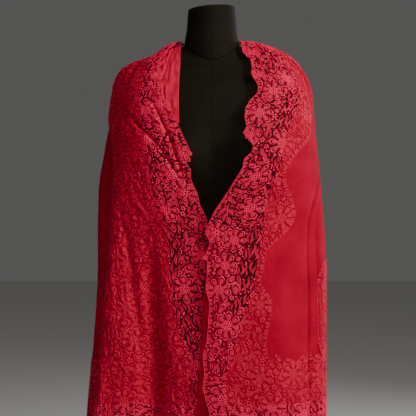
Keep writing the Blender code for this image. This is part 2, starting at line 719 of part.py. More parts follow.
def build_side_lace(left, back, lace, collection):
    """A tongue of lace laid over the left side fold, half on the front and half on the back."""
    levels = np.array([left.border(place)[2] for place in back.borders])
    rows = []
    for z in np.linspace(SIDE_LACE_TOP, SIDE_LACE_BOTTOM, SIDE_LACE_ROWS):
        bulge = math.sqrt(1 - ((z - SIDE_LACE_MIDDLE) / SIDE_LACE_HALF_HEIGHT) ** 2)
        front_width = np.interp(bulge, (0.0, 1.0), SIDE_LACE_FRONT)
        back_width = np.interp(bulge, (0.0, 1.0), SIDE_LACE_BACK)
        points, lengths = left.section(np.interp(-z, -left.table[5], left.stations))
        front_reach = np.linspace(front_width, 0.0, SIDE_LACE_COLUMNS[0])
        front_part = along(points, lengths, lengths[-1] - front_reach)
        behind, behind_lengths = back.section(np.interp(-z, -levels, back.stations))
        back_reach = np.linspace(0.0, back_width, SIDE_LACE_COLUMNS[1])[1:]
        back_part = along(behind, behind_lengths, behind_lengths[-1] - back_reach)
        rows.append(np.concatenate([front_part, back_part]))
    grid = laid_on(np.array(rows), SIDE_LACE_GAP + LACE_THICKNESS)
    cloth_wall("lace_left_side", grid, LACE_THICKNESS, lace, collection)


# ---------------------------------------------------------------- the dress form


def build_form(jersey, collection):
    body = [with_bust(points) for points in form_rings(FORM_BODY, 1)]
    closed_loft("form_torso", body, jersey, collection)
    neck = form_rings(NECK_ROWS, 2)
    for points in neck:
        lift = ease(points[:, 2], NECK_SLOPE_FROM, NECK_ROWS[-1].z_side)
        points[:, 2] += FORM_GAP + lift * NECK_TOP_SLOPE * points[:, 0]
    closed_loft("form_neck", neck, jersey, collection)


def build_stand(metal, collection):
    bottom = BASE_TOP + FORM_GAP
    top = FORM_BODY[0].z_side - FORM_GAP
    bpy.ops.mesh.primitive_cylinder_add(
        vertices=POLE_SIDES,
        radius=POLE_RADIUS,
        depth=top - bottom,
        location=(0.0, 0.0, (top + bottom) / 2),
    )
    pole = bpy.context.object
    pole.name = "form_pole"
    pole.data.materials.append(metal)
    move_to(pole, collection)

    mesh = bpy.data.meshes.new("form_base")
    edges = [(k, k + 1) for k in range(len(BASE_PROFILE) - 1)]
    mesh.from_pydata([(radius, 0.0, height) for radius, height in BASE_PROFILE], edges, [])
    base = add_object("form_base", mesh, metal, collection)
    turned = base.modifiers.new("Turned", "SCREW")
    turned.steps = BASE_SIDES
    turned.render_steps = BASE_SIDES
    turned.use_merge_vertices = True
    turned.merge_threshold = 0.0001
    turned.use_smooth_shade = True


def move_to(obj, collection):
    for other in list(obj.users_collection):
        other.objects.unlink(obj)
    collection.objects.link(obj)


def build():
    clear_scene()
    collection = bpy.data.collections.new("lace_shawl_on_dress_form")
    bpy.context.scene.collection.children.link(collection)
    wool = material("crimson wool", (0.42, 0.010, 0.020), 0.85)
    lace = material("crimson lace", (0.56, 0.020, 0.045), 0.60)
    jersey = material("black jersey", (0.012, 0.010, 0.009), 0.80)
    metal = material("black metal", (0.020, 0.020, 0.021), 0.40, 0.8)

    left = Front(LEFT_FRONT, LEFT_FOLDS, LEFT_SCALLOPS, LEFT_CUT, 1)
    right = Front(RIGHT_FRONT, RIGHT_FOLDS, RIGHT_SCALLOPS, RIGHT_CUT, -1)
    back = Back(BACK, BACK_FOLDS, left, right)

    build_left_front(left, wool, lace, collection)
    build_right_front(right, wool, lace, collection)
    build_back(back, wool, lace, collection)
    build_under_layer(wool, collection)
    build_neck_turn(right, lace, collection)
    build_side_lace(left, back, lace, collection)
    build_form(jersey, collection)
    build_stand(metal, collection)


build()
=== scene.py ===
# %% [markdown]
# # A lace-edged wool shawl on a dress form
#
# The shawl is one long stole of fine crimson wool with a wide border of floral lace. It hangs open over the
# shoulders of a black dress form, so the two lace ends fall down the front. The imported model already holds
# its sizes. This lesson dresses that model: it drapes finer cloth on the same sections, makes the lace as
# real raised flowers on a see-through net, and gives every surface its own weave.

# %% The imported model
import json
import math
from collections import namedtuple

import bmesh
import bpy
import numpy as np
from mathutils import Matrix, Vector

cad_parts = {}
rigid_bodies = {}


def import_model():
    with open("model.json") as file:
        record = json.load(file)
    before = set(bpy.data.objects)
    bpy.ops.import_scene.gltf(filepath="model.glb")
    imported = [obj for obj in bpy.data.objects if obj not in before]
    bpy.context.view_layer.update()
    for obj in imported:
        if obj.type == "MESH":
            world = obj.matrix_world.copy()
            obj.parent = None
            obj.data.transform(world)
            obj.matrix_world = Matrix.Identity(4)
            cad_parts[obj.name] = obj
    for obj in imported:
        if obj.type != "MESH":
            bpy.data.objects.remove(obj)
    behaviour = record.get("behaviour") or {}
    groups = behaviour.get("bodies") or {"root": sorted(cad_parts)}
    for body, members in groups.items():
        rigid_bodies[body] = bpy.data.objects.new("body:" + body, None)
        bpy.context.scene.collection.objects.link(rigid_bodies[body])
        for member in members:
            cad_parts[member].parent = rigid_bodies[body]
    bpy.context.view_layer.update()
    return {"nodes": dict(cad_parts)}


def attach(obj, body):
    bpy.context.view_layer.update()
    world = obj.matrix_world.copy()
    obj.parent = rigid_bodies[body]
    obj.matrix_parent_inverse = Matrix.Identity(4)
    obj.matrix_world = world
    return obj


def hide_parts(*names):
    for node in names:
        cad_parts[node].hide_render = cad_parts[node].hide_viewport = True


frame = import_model()
print("nodes in the packed model:", len(frame["nodes"]))

# %% [markdown]
# ## Camera and light
#
# The form is seen straight on at chest height through a long lens, so its sides stay upright. A large
# softbox stands at the viewer's right, above the shoulders. A weaker one in front fills the left side, whose
# folds only show when they fall partly into shade, and one behind keeps the back from going black.

# %% Camera
EYE = (-0.0081, -2.60, 1.030)
FRAME_WIDTH = 0.915         # what the camera takes in, side to side, at the pole
SENSOR_WIDTH = 36.0


def add_camera():
    lens = bpy.data.cameras.new("camera")
    lens.sensor_width = SENSOR_WIDTH
    lens.lens = SENSOR_WIDTH * -EYE[1] / FRAME_WIDTH
    camera = bpy.data.objects.new("camera", lens)
    camera.location = EYE
    camera.rotation_euler = (math.pi / 2, 0.0, 0.0)
    bpy.context.collection.objects.link(camera)
    bpy.context.scene.camera = camera
    return camera


print("focal length, mm:", round(add_camera().data.lens, 1))

# %% Softboxes and surroundings
Softbox = namedtuple("Softbox", "name place size watts colour")

SOFTBOXES = [
    Softbox("key_softbox", (2.00, -1.45, 2.22), 1.0, 90.0, (1.0, 0.97, 0.93)),
    Softbox("front_softbox", (-0.10, -2.3, 2.60), 1.0, 23.0, (1.0, 0.98, 0.96)),
    Softbox("back_softbox", (2.3, 2.2, 2.1), 1.4, 44.0, (0.96, 0.98, 1.0)),
]
AIMED_AT = Vector((0.0, 0.0, 1.0))
WORLD_COLOUR = (0.80, 0.79, 0.77)
WORLD_STRENGTH = 0.12


def add_softbox(box):
    light = bpy.data.lights.new(box.name, "AREA")
    light.shape = "SQUARE"
    light.size = box.size
    light.energy = box.watts
    light.color = box.colour
    lamp = bpy.data.objects.new(box.name, light)
    lamp.location = box.place
    lamp.rotation_euler = (AIMED_AT - Vector(box.place)).to_track_quat("-Z", "Y").to_euler()
    bpy.context.collection.objects.link(lamp)


def add_surroundings():
    world = bpy.data.worlds.new("studio")
    world.use_nodes = True
    sky = world.node_tree.nodes["Background"]
    sky.inputs["Color"].default_value = (*WORLD_COLOUR, 1.0)
    sky.inputs["Strength"].default_value = WORLD_STRENGTH
    bpy.context.scene.world = world


for box in SOFTBOXES:
    add_softbox(box)
add_surroundings()
print("softboxes:", len(SOFTBOXES))

# %% [markdown]
# ## The drape in sections
#
# A stole over two shoulders is hard to sculpt freely and still fit. So each front is a table of sections,
# from its inner lace edge to the fold at the side, and the back is a table of sections between the two
# fronts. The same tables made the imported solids, which is why this finer cloth lies exactly on them.

# %% Tables of the two fronts
FrontRow = namedtuple("FrontRow", "x_in y_in z_in x_out y_out z_out roundness")

LEFT_FRONT = [
    FrontRow(0.064, 0.000, 1.396, 0.2230, 0.000, 1.268, 1.00),
    FrontRow(0.070, -0.024, 1.389, 0.2232, 0.000, 1.262, 1.00),
    FrontRow(0.090, -0.061, 1.342, 0.2245, 0.002, 1.236, 0.95),
    FrontRow(0.102, -0.100, 1.281, 0.2270, 0.004, 1.202, 0.88),
    FrontRow(0.094, -0.130, 1.225, 0.2300, 0.006, 1.166, 0.84),
    FrontRow(0.089, -0.150, 1.172, 0.2335, 0.008, 1.128, 0.80),
    FrontRow(0.081, -0.157, 1.130, 0.2370, 0.010, 1.092, 0.80),
    FrontRow(0.049, -0.159, 1.078, 0.2410, 0.010, 1.050, 0.80),
    FrontRow(0.004, -0.158, 1.007, 0.2470, 0.010, 0.990, 0.80),
    FrontRow(-0.006, -0.159, 0.926, 0.2510, 0.010, 0.916, 0.80),
    FrontRow(-0.003, -0.161, 0.860, 0.2515, 0.010, 0.852, 0.80),
    FrontRow(-0.008, -0.164, 0.685, 0.2515, 0.010, 0.682, 0.80),
    FrontRow(-0.004, -0.166, 0.600, 0.2515, 0.010, 0.598, 0.80),
    FrontRow(-0.002, -0.168, 0.525, 0.2520, 0.010, 0.525, 0.80),
]

RIGHT_FRONT = [
    FrontRow(-0.070, 0.000, 1.396, -0.2190, 0.000, 1.268, 1.25),
    FrontRow(-0.088, -0.023, 1.387, -0.2192, -0.002, 1.262, 1.22),
    FrontRow(-0.108, -0.054, 1.350, -0.2190, -0.010, 1.236, 1.10),
    FrontRow(-0.115, -0.088, 1.290, -0.2160, -0.022, 1.202, 0.95),
    FrontRow(-0.086, -0.120, 1.215, -0.2130, -0.034, 1.166, 0.85),
    FrontRow(-0.065, -0.142, 1.165, -0.2110, -0.042, 1.128, 0.80),
    FrontRow(-0.056, -0.145, 1.125, -0.2100, -0.048, 1.092, 0.80),
    FrontRow(-0.045, -0.144, 1.078, -0.2110, -0.050, 1.050, 0.80),
    FrontRow(-0.023, -0.143, 1.007, -0.2160, -0.050, 0.990, 0.80),
    FrontRow(0.000, -0.143, 0.926, -0.2210, -0.050, 0.916, 0.80),
    FrontRow(0.010, -0.143, 0.860, -0.2260, -0.050, 0.852, 0.80),
    FrontRow(0.034, -0.143, 0.685, -0.2400, -0.050, 0.682, 0.80),
    FrontRow(0.040, -0.144, 0.600, -0.2480, -0.052, 0.598, 0.80),
    FrontRow(0.045, -0.145, 0.525, -0.2550, -0.054, 0.525, 0.80),
]

# %% Table of the back
# "border" says where a section ends on the fronts: 0 to 1 along the shoulder, then 1 + the front's row.
BackRow = namedtuple("BackRow", "border y_mid z_mid right_roundness left_roundness")

BACK = [
    BackRow(0.00, 0.068, 1.402, 1.00, 1.00),
    BackRow(0.25, 0.104, 1.325, 0.95, 0.95),
    BackRow(0.62, 0.122, 1.215, 0.90, 0.90),
    BackRow(1.00, 0.126, 1.135, 0.82, 0.85),
    BackRow(5.00, 0.128, 1.055, 0.64, 0.80),
    BackRow(7.00, 0.131, 0.990, 0.58, 0.80),
    BackRow(9.00, 0.137, 0.915, 0.57, 0.80),
    BackRow(11.00, 0.146, 0.810, 0.60, 0.80),
    BackRow(12.00, 0.158, 0.655, 0.60, 0.80),
    BackRow(13.00, 0.164, 0.575, 0.60, 0.80),
    BackRow(14.00, 0.171, 0.490, 0.60, 0.80),
]
LEVEL_POWER = 1.8
SECTION_STEPS = 240

# %% Tables of the large folds
# A fold is a ridge (depth above 0) or a trough (below 0). Its place and width are fractions of a section,
# and it grows between the height fractions "starts" and "full".
Fold = namedtuple("Fold", "place_top place_hem width depth starts full")

LEFT_FOLDS = [
    Fold(0.70, 0.66, 0.055, -0.010, 0.25, 0.60),
    Fold(0.40, 0.42, 0.100, 0.007, 0.50, 0.95),
    Fold(0.88, 0.86, 0.060, -0.008, 0.45, 0.90),
]

RIGHT_FOLDS = [
    Fold(0.50, 0.49, 0.065, -0.024, 0.42, 0.85),
    Fold(0.74, 0.72, 0.090, 0.012, 0.45, 0.90),
    Fold(0.30, 0.30, 0.080, 0.006, 0.55, 0.95),
]

BACK_FOLDS = [
    Fold(0.085, 0.080, 0.042, -0.042, 0.24, 0.52),
    Fold(0.175, 0.200, 0.085, 0.072, 0.08, 0.50),
    Fold(0.200, 0.200, 0.085, -0.020, 0.40, 0.66),
    Fold(0.350, 0.335, 0.050, -0.022, 0.30, 0.90),
    Fold(0.460, 0.450, 0.055, 0.020, 0.35, 0.95),
    Fold(0.580, 0.590, 0.048, -0.024, 0.28, 0.90),
    Fold(0.700, 0.710, 0.052, 0.018, 0.34, 0.95),
    Fold(0.820, 0.830, 0.045, -0.018, 0.30, 0.90),
]
print("sections:", len(LEFT_FRONT), "+", len(RIGHT_FRONT), "+", len(BACK))

# %% [markdown]
# A smooth curve through each column of a table gives a section at any height. Joining the table's rows with
# straight lines would show as dents across the cloth, so the curve is a cubic between each two rows.

# %% Reading a table smoothly
TINY = 1e-12                # keeps a division from failing where a length is 0


def smooth(stations, values, at):
    stations = np.asarray(stations, dtype=float)
    values = np.asarray(values, dtype=float)
    at = np.asarray(at, dtype=float)
    gaps = np.diff(stations)
    rises = np.diff(values) / gaps
    inner = (gaps[:-1] * rises[1:] + gaps[1:] * rises[:-1]) / (gaps[:-1] + gaps[1:])
    slopes = np.concatenate(([rises[0]], inner, [rises[-1]]))
    row = np.clip(np.searchsorted(stations, at) - 1, 0, len(gaps) - 1)
    part = (at - stations[row]) / gaps[row]
    start = values[row] * (2 * part**3 - 3 * part**2 + 1)
    end = values[row + 1] * (3 * part**2 - 2 * part**3)
    leaving = slopes[row] * gaps[row] * (part**3 - 2 * part**2 + part)
    arriving = slopes[row + 1] * gaps[row] * (part**3 - part**2)
    return start + end + leaving + arriving


def ease(value, low, high):
    """Rises smoothly from 0 at low to 1 at high."""
    part = np.clip((value - low) / (high - low), 0.0, 1.0)
    return part * part * (3 - 2 * part)


def distances(points):
    """How far along the line of points each one lies."""
    steps = np.linalg.norm(np.diff(points, axis=0), axis=1)
    return np.concatenate(([0.0], np.cumsum(steps)))


def along(points, lengths, wanted):
    """The points at the wanted distances, carried on straight before the first one."""
    inside = np.clip(wanted, 0.0, lengths[-1])
    found = np.stack([np.interp(inside, lengths, axis) for axis in points.T], axis=-1)
    first = (points[2] - points[0]) / np.linalg.norm(points[2] - points[0])
    return found + np.minimum(wanted, 0.0)[..., None] * first


print("halfway in ease:", ease(0.5, 0.0, 1.0))

# %% Sections of the fronts and the back


def folded(points, folds, down, side):
    """A section with its large folds, moved square to it and level, and its flat distances."""
    lengths = distances(points)
    place = lengths / lengths[-1]
    height = np.zeros_like(place)
    for fold in folds:
        middle = fold.place_top + (fold.place_hem - fold.place_top) * down
        depth = fold.depth * ease(down, fold.starts, fold.full)
        height += depth * np.exp(-(((place - middle) / fold.width) ** 2))
    travel = np.gradient(points[:, :2], axis=0)
    travel /= np.linalg.norm(travel, axis=1, keepdims=True) + TINY
    moved = points.copy()
    moved[:, 0] += travel[:, 1] * side * height
    moved[:, 1] -= travel[:, 0] * side * height
    return moved, lengths


def arc_shares(roundness):
    """The rising and falling shares of a quarter section, an ellipse where roundness is 1."""
    angle = np.linspace(0.0, math.pi / 2, SECTION_STEPS)
    return np.sin(angle) ** roundness, np.clip(np.cos(angle), 0.0, 1.0) ** roundness


class Front:
    """One front end of the shawl. side is 1 for the wearer's left and -1 for the right."""

    def __init__(self, rows, folds, side):
        self.table = np.array(rows).T
        run = distances(self.table[:3].T)
        self.length = run[-1]
        self.stations = run / run[-1]
        self.folds = folds
        self.side = side

    def section(self, down):
        """The section's points, its flat distances and the distance from which a chart counts."""
        x_in, y_in, z_in, x_out, y_out, z_out, roundness = (
            smooth(self.stations, column, down) for column in self.table
        )
        rising, falling = arc_shares(roundness)
        x = x_in + (x_out - x_in) * rising
        y = y_out + (y_in - y_out) * falling
        z = z_out + (z_in - z_out) * falling
        return *folded(np.stack([x, y, z], axis=1), self.folds, down, self.side), 0.0

    def border(self, place):
        """A point where the back joins on: 0 to 1 on the shoulder, then 1 + the row of the side fold."""
        if place <= 1.0:
            points, lengths, _ = self.section(0.0)
            return along(points, lengths, np.array([place * lengths[-1]]))[0]
        down = np.interp(place - 1.0, np.arange(len(self.stations)), self.stations)
        return self.section(down)[0][-1]


class Back:
    """The stretch of the shawl behind the form, between the borders of the two fronts."""

    def __init__(self, rows, folds, left, right):
        self.table = np.array(rows).T
        run = distances(self.table[1:3].T)
        self.length = run[-1]
        self.stations = run / run[-1]
        self.folds = folds
        self.left = left
        self.right = right

    def half(self, border, y_mid, z_mid, roundness):
        rising, falling = arc_shares(roundness)
        x = border[0] * falling
        y = border[1] + (y_mid - border[1]) * rising
        z = z_mid + (border[2] - z_mid) * falling**LEVEL_POWER
        return np.stack([x, y, z], axis=1)

    def section(self, down):
        """The same as for a front, but counted from the section's middle."""
        place = np.interp(down, self.stations, self.table[0])
        y_mid, z_mid, right_roundness, left_roundness = (
            smooth(self.stations, column, down) for column in self.table[1:]
        )
        right_half = self.half(self.right.border(place), y_mid, z_mid, right_roundness)
        left_half = self.half(self.left.border(place), y_mid, z_mid, left_roundness)[::-1]
        points = np.concatenate([right_half, left_half[1:]])
        moved, lengths = folded(points, self.folds, down, -1)
        return moved, lengths, lengths[SECTION_STEPS - 1]


left = Front(LEFT_FRONT, LEFT_FOLDS, 1)
right = Front(RIGHT_FRONT, RIGHT_FOLDS, -1)
back = Back(BACK, BACK_FOLDS, left, right)
for panel_name, panel in (("left", left), ("right", right), ("back", back)):
    print(panel_name, "length, m:", round(panel.length, 3))

# %% [markdown]
# ## A chart of each panel
#
# Lace is drawn flat and then laid on curved cloth. A chart makes that easy: it is a fine grid of points on
# the cloth together with the flat distances down and across it. Given any flat place and a height, it
# answers with the point in space. Creases are pressed into the chart once, so the wool, the net and the
# flowers on it all follow them.

# %% Charts
EDGE_REACH = 0.030          # how far a chart goes beyond a front's inner edge
HEM_REACH = 0.016           # and below the hem
FRONT_CHART = (400, 230)    # rows and columns
BACK_CHART = (300, 420)


def between(grid, upper, before, row_part, part):
    """Values between four neighbours of a grid."""
    if grid.ndim == 3:
        row_part = row_part[..., None]
        part = part[..., None]
    top = grid[upper, before] * (1 - part) + grid[upper, before + 1] * part
    low = grid[upper + 1, before] * (1 - part) + grid[upper + 1, before + 1] * part
    return top * (1 - row_part) + low * row_part


class Chart:
    """Row i lies downs[i] down the cloth; its columns start at starts[i] across, every steps[i]."""

    def __init__(self, points, downs, starts, steps, outward):
        self.points = points
        self.downs = downs
        self.starts = starts
        self.steps = steps
        self.outward = outward
        self.normals = self.find_normals()

    def find_normals(self):
        normal = np.cross(np.gradient(self.points, axis=0), np.gradient(self.points, axis=1))
        normal *= self.outward / (np.linalg.norm(normal, axis=2, keepdims=True) + TINY)
        return normal

    def flat_places(self):
        down = np.repeat(self.downs[:, None], self.points.shape[1], axis=1)
        across = self.starts[:, None] + self.steps[:, None] * np.arange(self.points.shape[1])
        return down, across

    def start(self, down):
        """Where the chart's first column lies across, at a distance down."""
        return np.interp(down, self.downs, self.starts)

    def width(self, down):
        """Where its last column lies."""
        last = self.starts + self.steps * (self.points.shape[1] - 1)
        return np.interp(down, self.downs, last)

    def press(self, heights):
        """Moves the cloth in or out by a height at each point of the grid."""
        self.points = self.points + self.normals * heights[..., None]
        self.normals = self.find_normals()

    def nudge(self, nudges):
        """Pulls the cloth near each spot, so that neighbouring charts stay joined."""
        for spot, reach, pull in nudges:
            away = (self.points - np.array(spot)) / np.array(reach)
            self.points = self.points + np.exp(-(away**2).sum(axis=2))[..., None] * np.array(pull)
        self.normals = self.find_normals()

    def at(self, down, across, height):
        down, across, height = np.broadcast_arrays(down, across, height)
        row = np.interp(down, self.downs, np.arange(len(self.downs)))
        upper = np.minimum(row.astype(int), len(self.downs) - 2)
        row_part = row - upper
        start = self.starts[upper] * (1 - row_part) + self.starts[upper + 1] * row_part
        step = self.steps[upper] * (1 - row_part) + self.steps[upper + 1] * row_part
        columns = self.points.shape[1]
        column = np.clip((across - start) / step, 0.0, columns - 1.0)
        before = np.minimum(column.astype(int), columns - 2)
        part = column - before
        place = between(self.points, upper, before, row_part, part)
        normal = between(self.normals, upper, before, row_part, part)
        return place + normal * height[..., None]


def panel_chart(panel, size, reach, outward):
    """A chart of a front or the back. Across the back, distances are below 0 on the wearer's right."""
    rows, columns = size
    downs = np.linspace(0.0, panel.length + HEM_REACH, rows)
    points, starts, steps = [], [], []
    for down in downs:
        section, lengths, zero = panel.section(min(down / panel.length, 1.0))
        wanted = np.linspace(-reach, lengths[-1], columns)
        row = along(section, lengths, wanted)
        row[:, 2] -= max(down - panel.length, 0.0)
        points.append(row)
        starts.append(-reach - zero)
        steps.append(wanted[1] - wanted[0])
    return Chart(np.array(points), downs, np.array(starts), np.array(steps), outward)


left_chart = panel_chart(left, FRONT_CHART, EDGE_REACH, left.side)
right_chart = panel_chart(right, FRONT_CHART, EDGE_REACH, right.side)
rear_chart = panel_chart(back, BACK_CHART, 0.0, -1)
print("width across the hem, m:", round(float(left_chart.width(left.length)), 3))

# %% [markdown]
# The wearer's right shoulder isn't an even curve: the cloth sinks beside the neck, stands out again over the
# end of the shoulder and bulges at the upper arm. Lower down, the side fold swings forward. Each nudge pulls
# the cloth around one spot, and both charts that meet there are pulled alike.

# %% Nudges on the wearer's right
Nudge = namedtuple("Nudge", "spot reach pull")

RIGHT_NUDGES = [
    Nudge((-0.134, 0.000, 1.380), (0.034, 0.060, 0.040), (0.006, 0.000, -0.013)),
    Nudge((-0.203, 0.000, 1.322), (0.030, 0.050, 0.034), (-0.006, 0.000, 0.009)),
    Nudge((-0.224, 0.030, 1.205), (0.050, 0.070, 0.050), (-0.012, 0.000, 0.000)),
    Nudge((-0.212, -0.070, 1.020), (0.032, 0.050, 0.100), (0.000, -0.020, 0.000)),
    Nudge((-0.224, -0.072, 0.850), (0.034, 0.052, 0.120), (0.000, -0.032, 0.000)),
    Nudge((-0.244, -0.075, 0.620), (0.040, 0.055, 0.170), (0.000, -0.044, 0.000)),
]
for chart in (right_chart, rear_chart):
    chart.nudge(RIGHT_NUDGES)
print("nudges:", len(RIGHT_NUDGES))

# %% [markdown]
# ## Creases
#
# Two kinds of small relief lie on the large folds. Soft creases fall where the cloth is pulled, such as the
# lines that run along the neckline, and each is drawn as a route on the chart. The heavy lace also puckers
# the fine wool, in long shallow wrinkles, which are smooth noise stretched down the cloth.

# %% Creases and puckers
Crease = namedtuple("Crease", "route width depth")      # route: distances down and across; depth > 0 is in

RIGHT_CREASES = [
    Crease([(0.19, 0.022), (0.25, 0.020), (0.31, 0.018), (0.37, 0.010)], 0.0042, 0.0085),
    Crease([(0.20, 0.085), (0.26, 0.068), (0.32, 0.040), (0.37, 0.020)], 0.0050, 0.0075),
    Crease([(0.05, 0.060), (0.14, 0.085), (0.24, 0.100)], 0.0100, 0.0050),
    Crease([(0.42, 0.170), (0.60, 0.176), (0.80, 0.180), (0.95, 0.186)], 0.0100, 0.0060),
]
LEFT_CREASES = [
    Crease([(0.01, 0.070), (0.04, 0.110), (0.07, 0.160)], 0.0070, 0.0050),
    Crease([(0.14, 0.185), (0.50, 0.228), (0.95, 0.240)], 0.0040, 0.0095),
    Crease([(0.30, 0.235), (0.60, 0.262), (0.95, 0.268)], 0.0060, 0.0060),
]
# On the back, each is a distance down and a distance from the border with the right front.
REAR_CREASES = [
    Crease([(0.13, 0.012), (0.27, 0.018), (0.60, 0.018), (0.92, 0.016)], 0.0090, 0.0240),
    Crease([(0.16, 0.110), (0.45, 0.135), (0.86, 0.150)], 0.0140, 0.0110),
    Crease([(0.22, 0.200), (0.55, 0.215), (0.88, 0.205)], 0.0160, 0.0120),
    Crease([(0.14, 0.300), (0.50, 0.315), (0.87, 0.330)], 0.0130, 0.0090),
    Crease([(0.25, 0.410), (0.60, 0.400), (0.88, 0.405)], 0.0150, 0.0080),
    Crease([(0.13, 0.500), (0.50, 0.520), (0.84, 0.500)], 0.0120, 0.0090),
    Crease([(0.17, 0.120), (0.23, 0.250), (0.22, 0.370), (0.16, 0.480)], 0.0160, 0.0060),
]
FADE = 0.014                # the relief fades out this near a border with the back
CREASE_ENDS = (0.02, 0.98)  # a crease's taper is cut short here, so it doesn't end in a point

# How deep the puckers are: depth, which changes by so much between two distances across.
Pucker = namedtuple("Pucker", "depth change low high")
RIGHT_PUCKERS = Pucker(0.0014, 0.0030, 0.05, 0.10)
LEFT_PUCKERS = Pucker(0.0024, -0.0020, 0.12, 0.17)
REAR_PUCKERS = Pucker(0.0, 0.0014, 0.03, 0.08)
WANDER = (0.030, 0.040)             # lumps, down and across, of the noise that sways the puckers
WANDER_REACH = 0.009
COARSE_PUCKERS = (0.080, 0.024)
FINE_PUCKERS = (0.024, 0.0072)
COARSE_SHARE = 0.35


def crease_height(creases, down, across):
    height = np.zeros_like(down)
    for crease in creases:
        route = np.array(crease.route)
        run = distances(route)
        nearest = np.full(down.shape, np.inf)
        travelled = np.zeros_like(down)
        for start, end, begun in zip(route[:-1], route[1:], run):
            step = end - start
            part = ((down - start[0]) * step[0] + (across - start[1]) * step[1]) / step.dot(step)
            part = np.clip(part, 0.0, 1.0)
            away = np.hypot(down - start[0] - part * step[0], across - start[1] - part * step[1])
            closer = away < nearest
            nearest = np.where(closer, away, nearest)
            travelled = np.where(closer, begun + part * np.linalg.norm(step), travelled)
        taper = np.sqrt(np.sin(math.pi * np.clip(travelled / run[-1], *CREASE_ENDS)))
        height -= crease.depth * taper * np.exp(-((nearest / crease.width) ** 2))
    return height


def soft_noise(down, across, cell, dice):
    """Smooth random heights between -1 and 1, in lumps of a cell's size down and across."""
    row = (down - down.min()) / cell[0]
    column = (across - across.min()) / cell[1]
    knots = dice.uniform(-1.0, 1.0, (int(row.max()) + 2, int(column.max()) + 2))
    upper, before = row.astype(int), column.astype(int)
    return between(knots, upper, before, ease(row - upper, 0.0, 1.0), ease(column - before, 0.0, 1.0))


def puckers(down, across, dice):
    """Long soft lumps with sharp creases between them, which wander from side to side."""
    wander = soft_noise(down, across, WANDER, dice) * WANDER_REACH
    coarse = np.abs(soft_noise(down, across + wander, COARSE_PUCKERS, dice))
    fine = np.abs(soft_noise(down, across + wander, FINE_PUCKERS, dice))
    return COARSE_SHARE * (coarse - 1) + (1 - COARSE_SHARE) * fine


def press_creases(chart, creases, pucker, dice, from_border=False):
    down, across = chart.flat_places()
    border = chart.width(down) - across
    if from_border:
        across = across - chart.starts[:, None]
    depth = pucker.depth + pucker.change * ease(across, pucker.low, pucker.high)
    relief = crease_height(creases, down, across) + depth * puckers(down, across, dice)
    chart.press(relief * ease(border, 0.0, FADE) * ease(down, 0.0, FADE))
    return float(np.ptp(relief))


dice = np.random.default_rng(7)
reliefs = [
    press_creases(right_chart, RIGHT_CREASES, RIGHT_PUCKERS, dice),
    press_creases(left_chart, LEFT_CREASES, LEFT_PUCKERS, dice),
    press_creases(rear_chart, REAR_CREASES, REAR_PUCKERS, dice, from_border=True),
]
print("relief, mm:", *(round(relief * 1000, 1) for relief in reliefs))

# %% [markdown]
# ## Outlines of the lace
#
# The lace has three outlines. Its free edge is scalloped. The wool under it is cut away along a line that
# wanders 28 to 106 mm in, so that stretch is see-through. And on the left front the lace ends on the wool in
# large lobes, with smaller ones along the top of its hem.

# %% Scallops, cut edges and lobes
# Each outline is a list of points: a distance down the front, and a distance across. The free edges are
# joined with straight lines, which leaves their tips pointed, and the others with a smooth curve.
LEFT_EDGE = np.array([
    (0.000, -0.004), (0.030, -0.007), (0.062, -0.014), (0.078, -0.004), (0.100, -0.007), (0.125, -0.013),
    (0.154, -0.003), (0.175, -0.007), (0.190, -0.018), (0.209, -0.025), (0.232, -0.025), (0.253, -0.019),
    (0.270, -0.025), (0.284, -0.010), (0.300, 0.000), (0.312, -0.004), (0.325, -0.015), (0.345, -0.010),
    (0.388, -0.008), (0.425, -0.006), (0.471, -0.006), (0.500, -0.011), (0.520, 0.001), (0.547, -0.006),
    (0.553, -0.015), (0.557, -0.003), (0.590, -0.005), (0.618, -0.010), (0.645, -0.002), (0.689, -0.003),
    (0.724, -0.004), (0.756, -0.011), (0.787, -0.007), (0.822, -0.012), (0.853, -0.005), (0.874, 0.000),
    (0.905, -0.009), (0.930, -0.003), (0.955, -0.006),
])
RIGHT_EDGE = np.array([
    (0.000, -0.004), (0.018, -0.002), (0.033, -0.009), (0.050, -0.001), (0.060, -0.004), (0.081, 0.005),
    (0.095, -0.004), (0.103, 0.000), (0.125, -0.011), (0.140, -0.004), (0.152, -0.008), (0.165, -0.001),
    (0.186, -0.006), (0.196, -0.015), (0.215, -0.009), (0.235, -0.012), (0.252, -0.010), (0.285, -0.010),
    (0.320, -0.016), (0.337, -0.002), (0.355, -0.008), (0.374, -0.004), (0.404, -0.009), (0.430, -0.007),
    (0.461, -0.012), (0.500, -0.003), (0.540, -0.010), (0.570, -0.003), (0.610, -0.010), (0.645, -0.002),
    (0.690, -0.009), (0.725, -0.003), (0.765, -0.010), (0.800, -0.003), (0.840, -0.009), (0.875, -0.002),
    (0.915, -0.009), (0.955, -0.004),
])
LEFT_LACE_END = np.array([
    (0.000, 0.150), (0.152, 0.135), (0.271, 0.123), (0.309, 0.093), (0.342, 0.083), (0.377, 0.101),
    (0.434, 0.154), (0.468, 0.172), (0.500, 0.159), (0.536, 0.121), (0.569, 0.114), (0.604, 0.105),
    (0.635, 0.125), (0.668, 0.127), (0.708, 0.120), (0.758, 0.124), (0.780, 0.140), (0.807, 0.155),
    (0.860, 0.158), (0.955, 0.150),
])
LEFT_CUT = np.array([
    (0.000, 0.052), (0.133, 0.097), (0.210, 0.082), (0.285, 0.062), (0.380, 0.074), (0.490, 0.106),
    (0.600, 0.092), (0.700, 0.064), (0.780, 0.040), (1.000, 0.040),
])
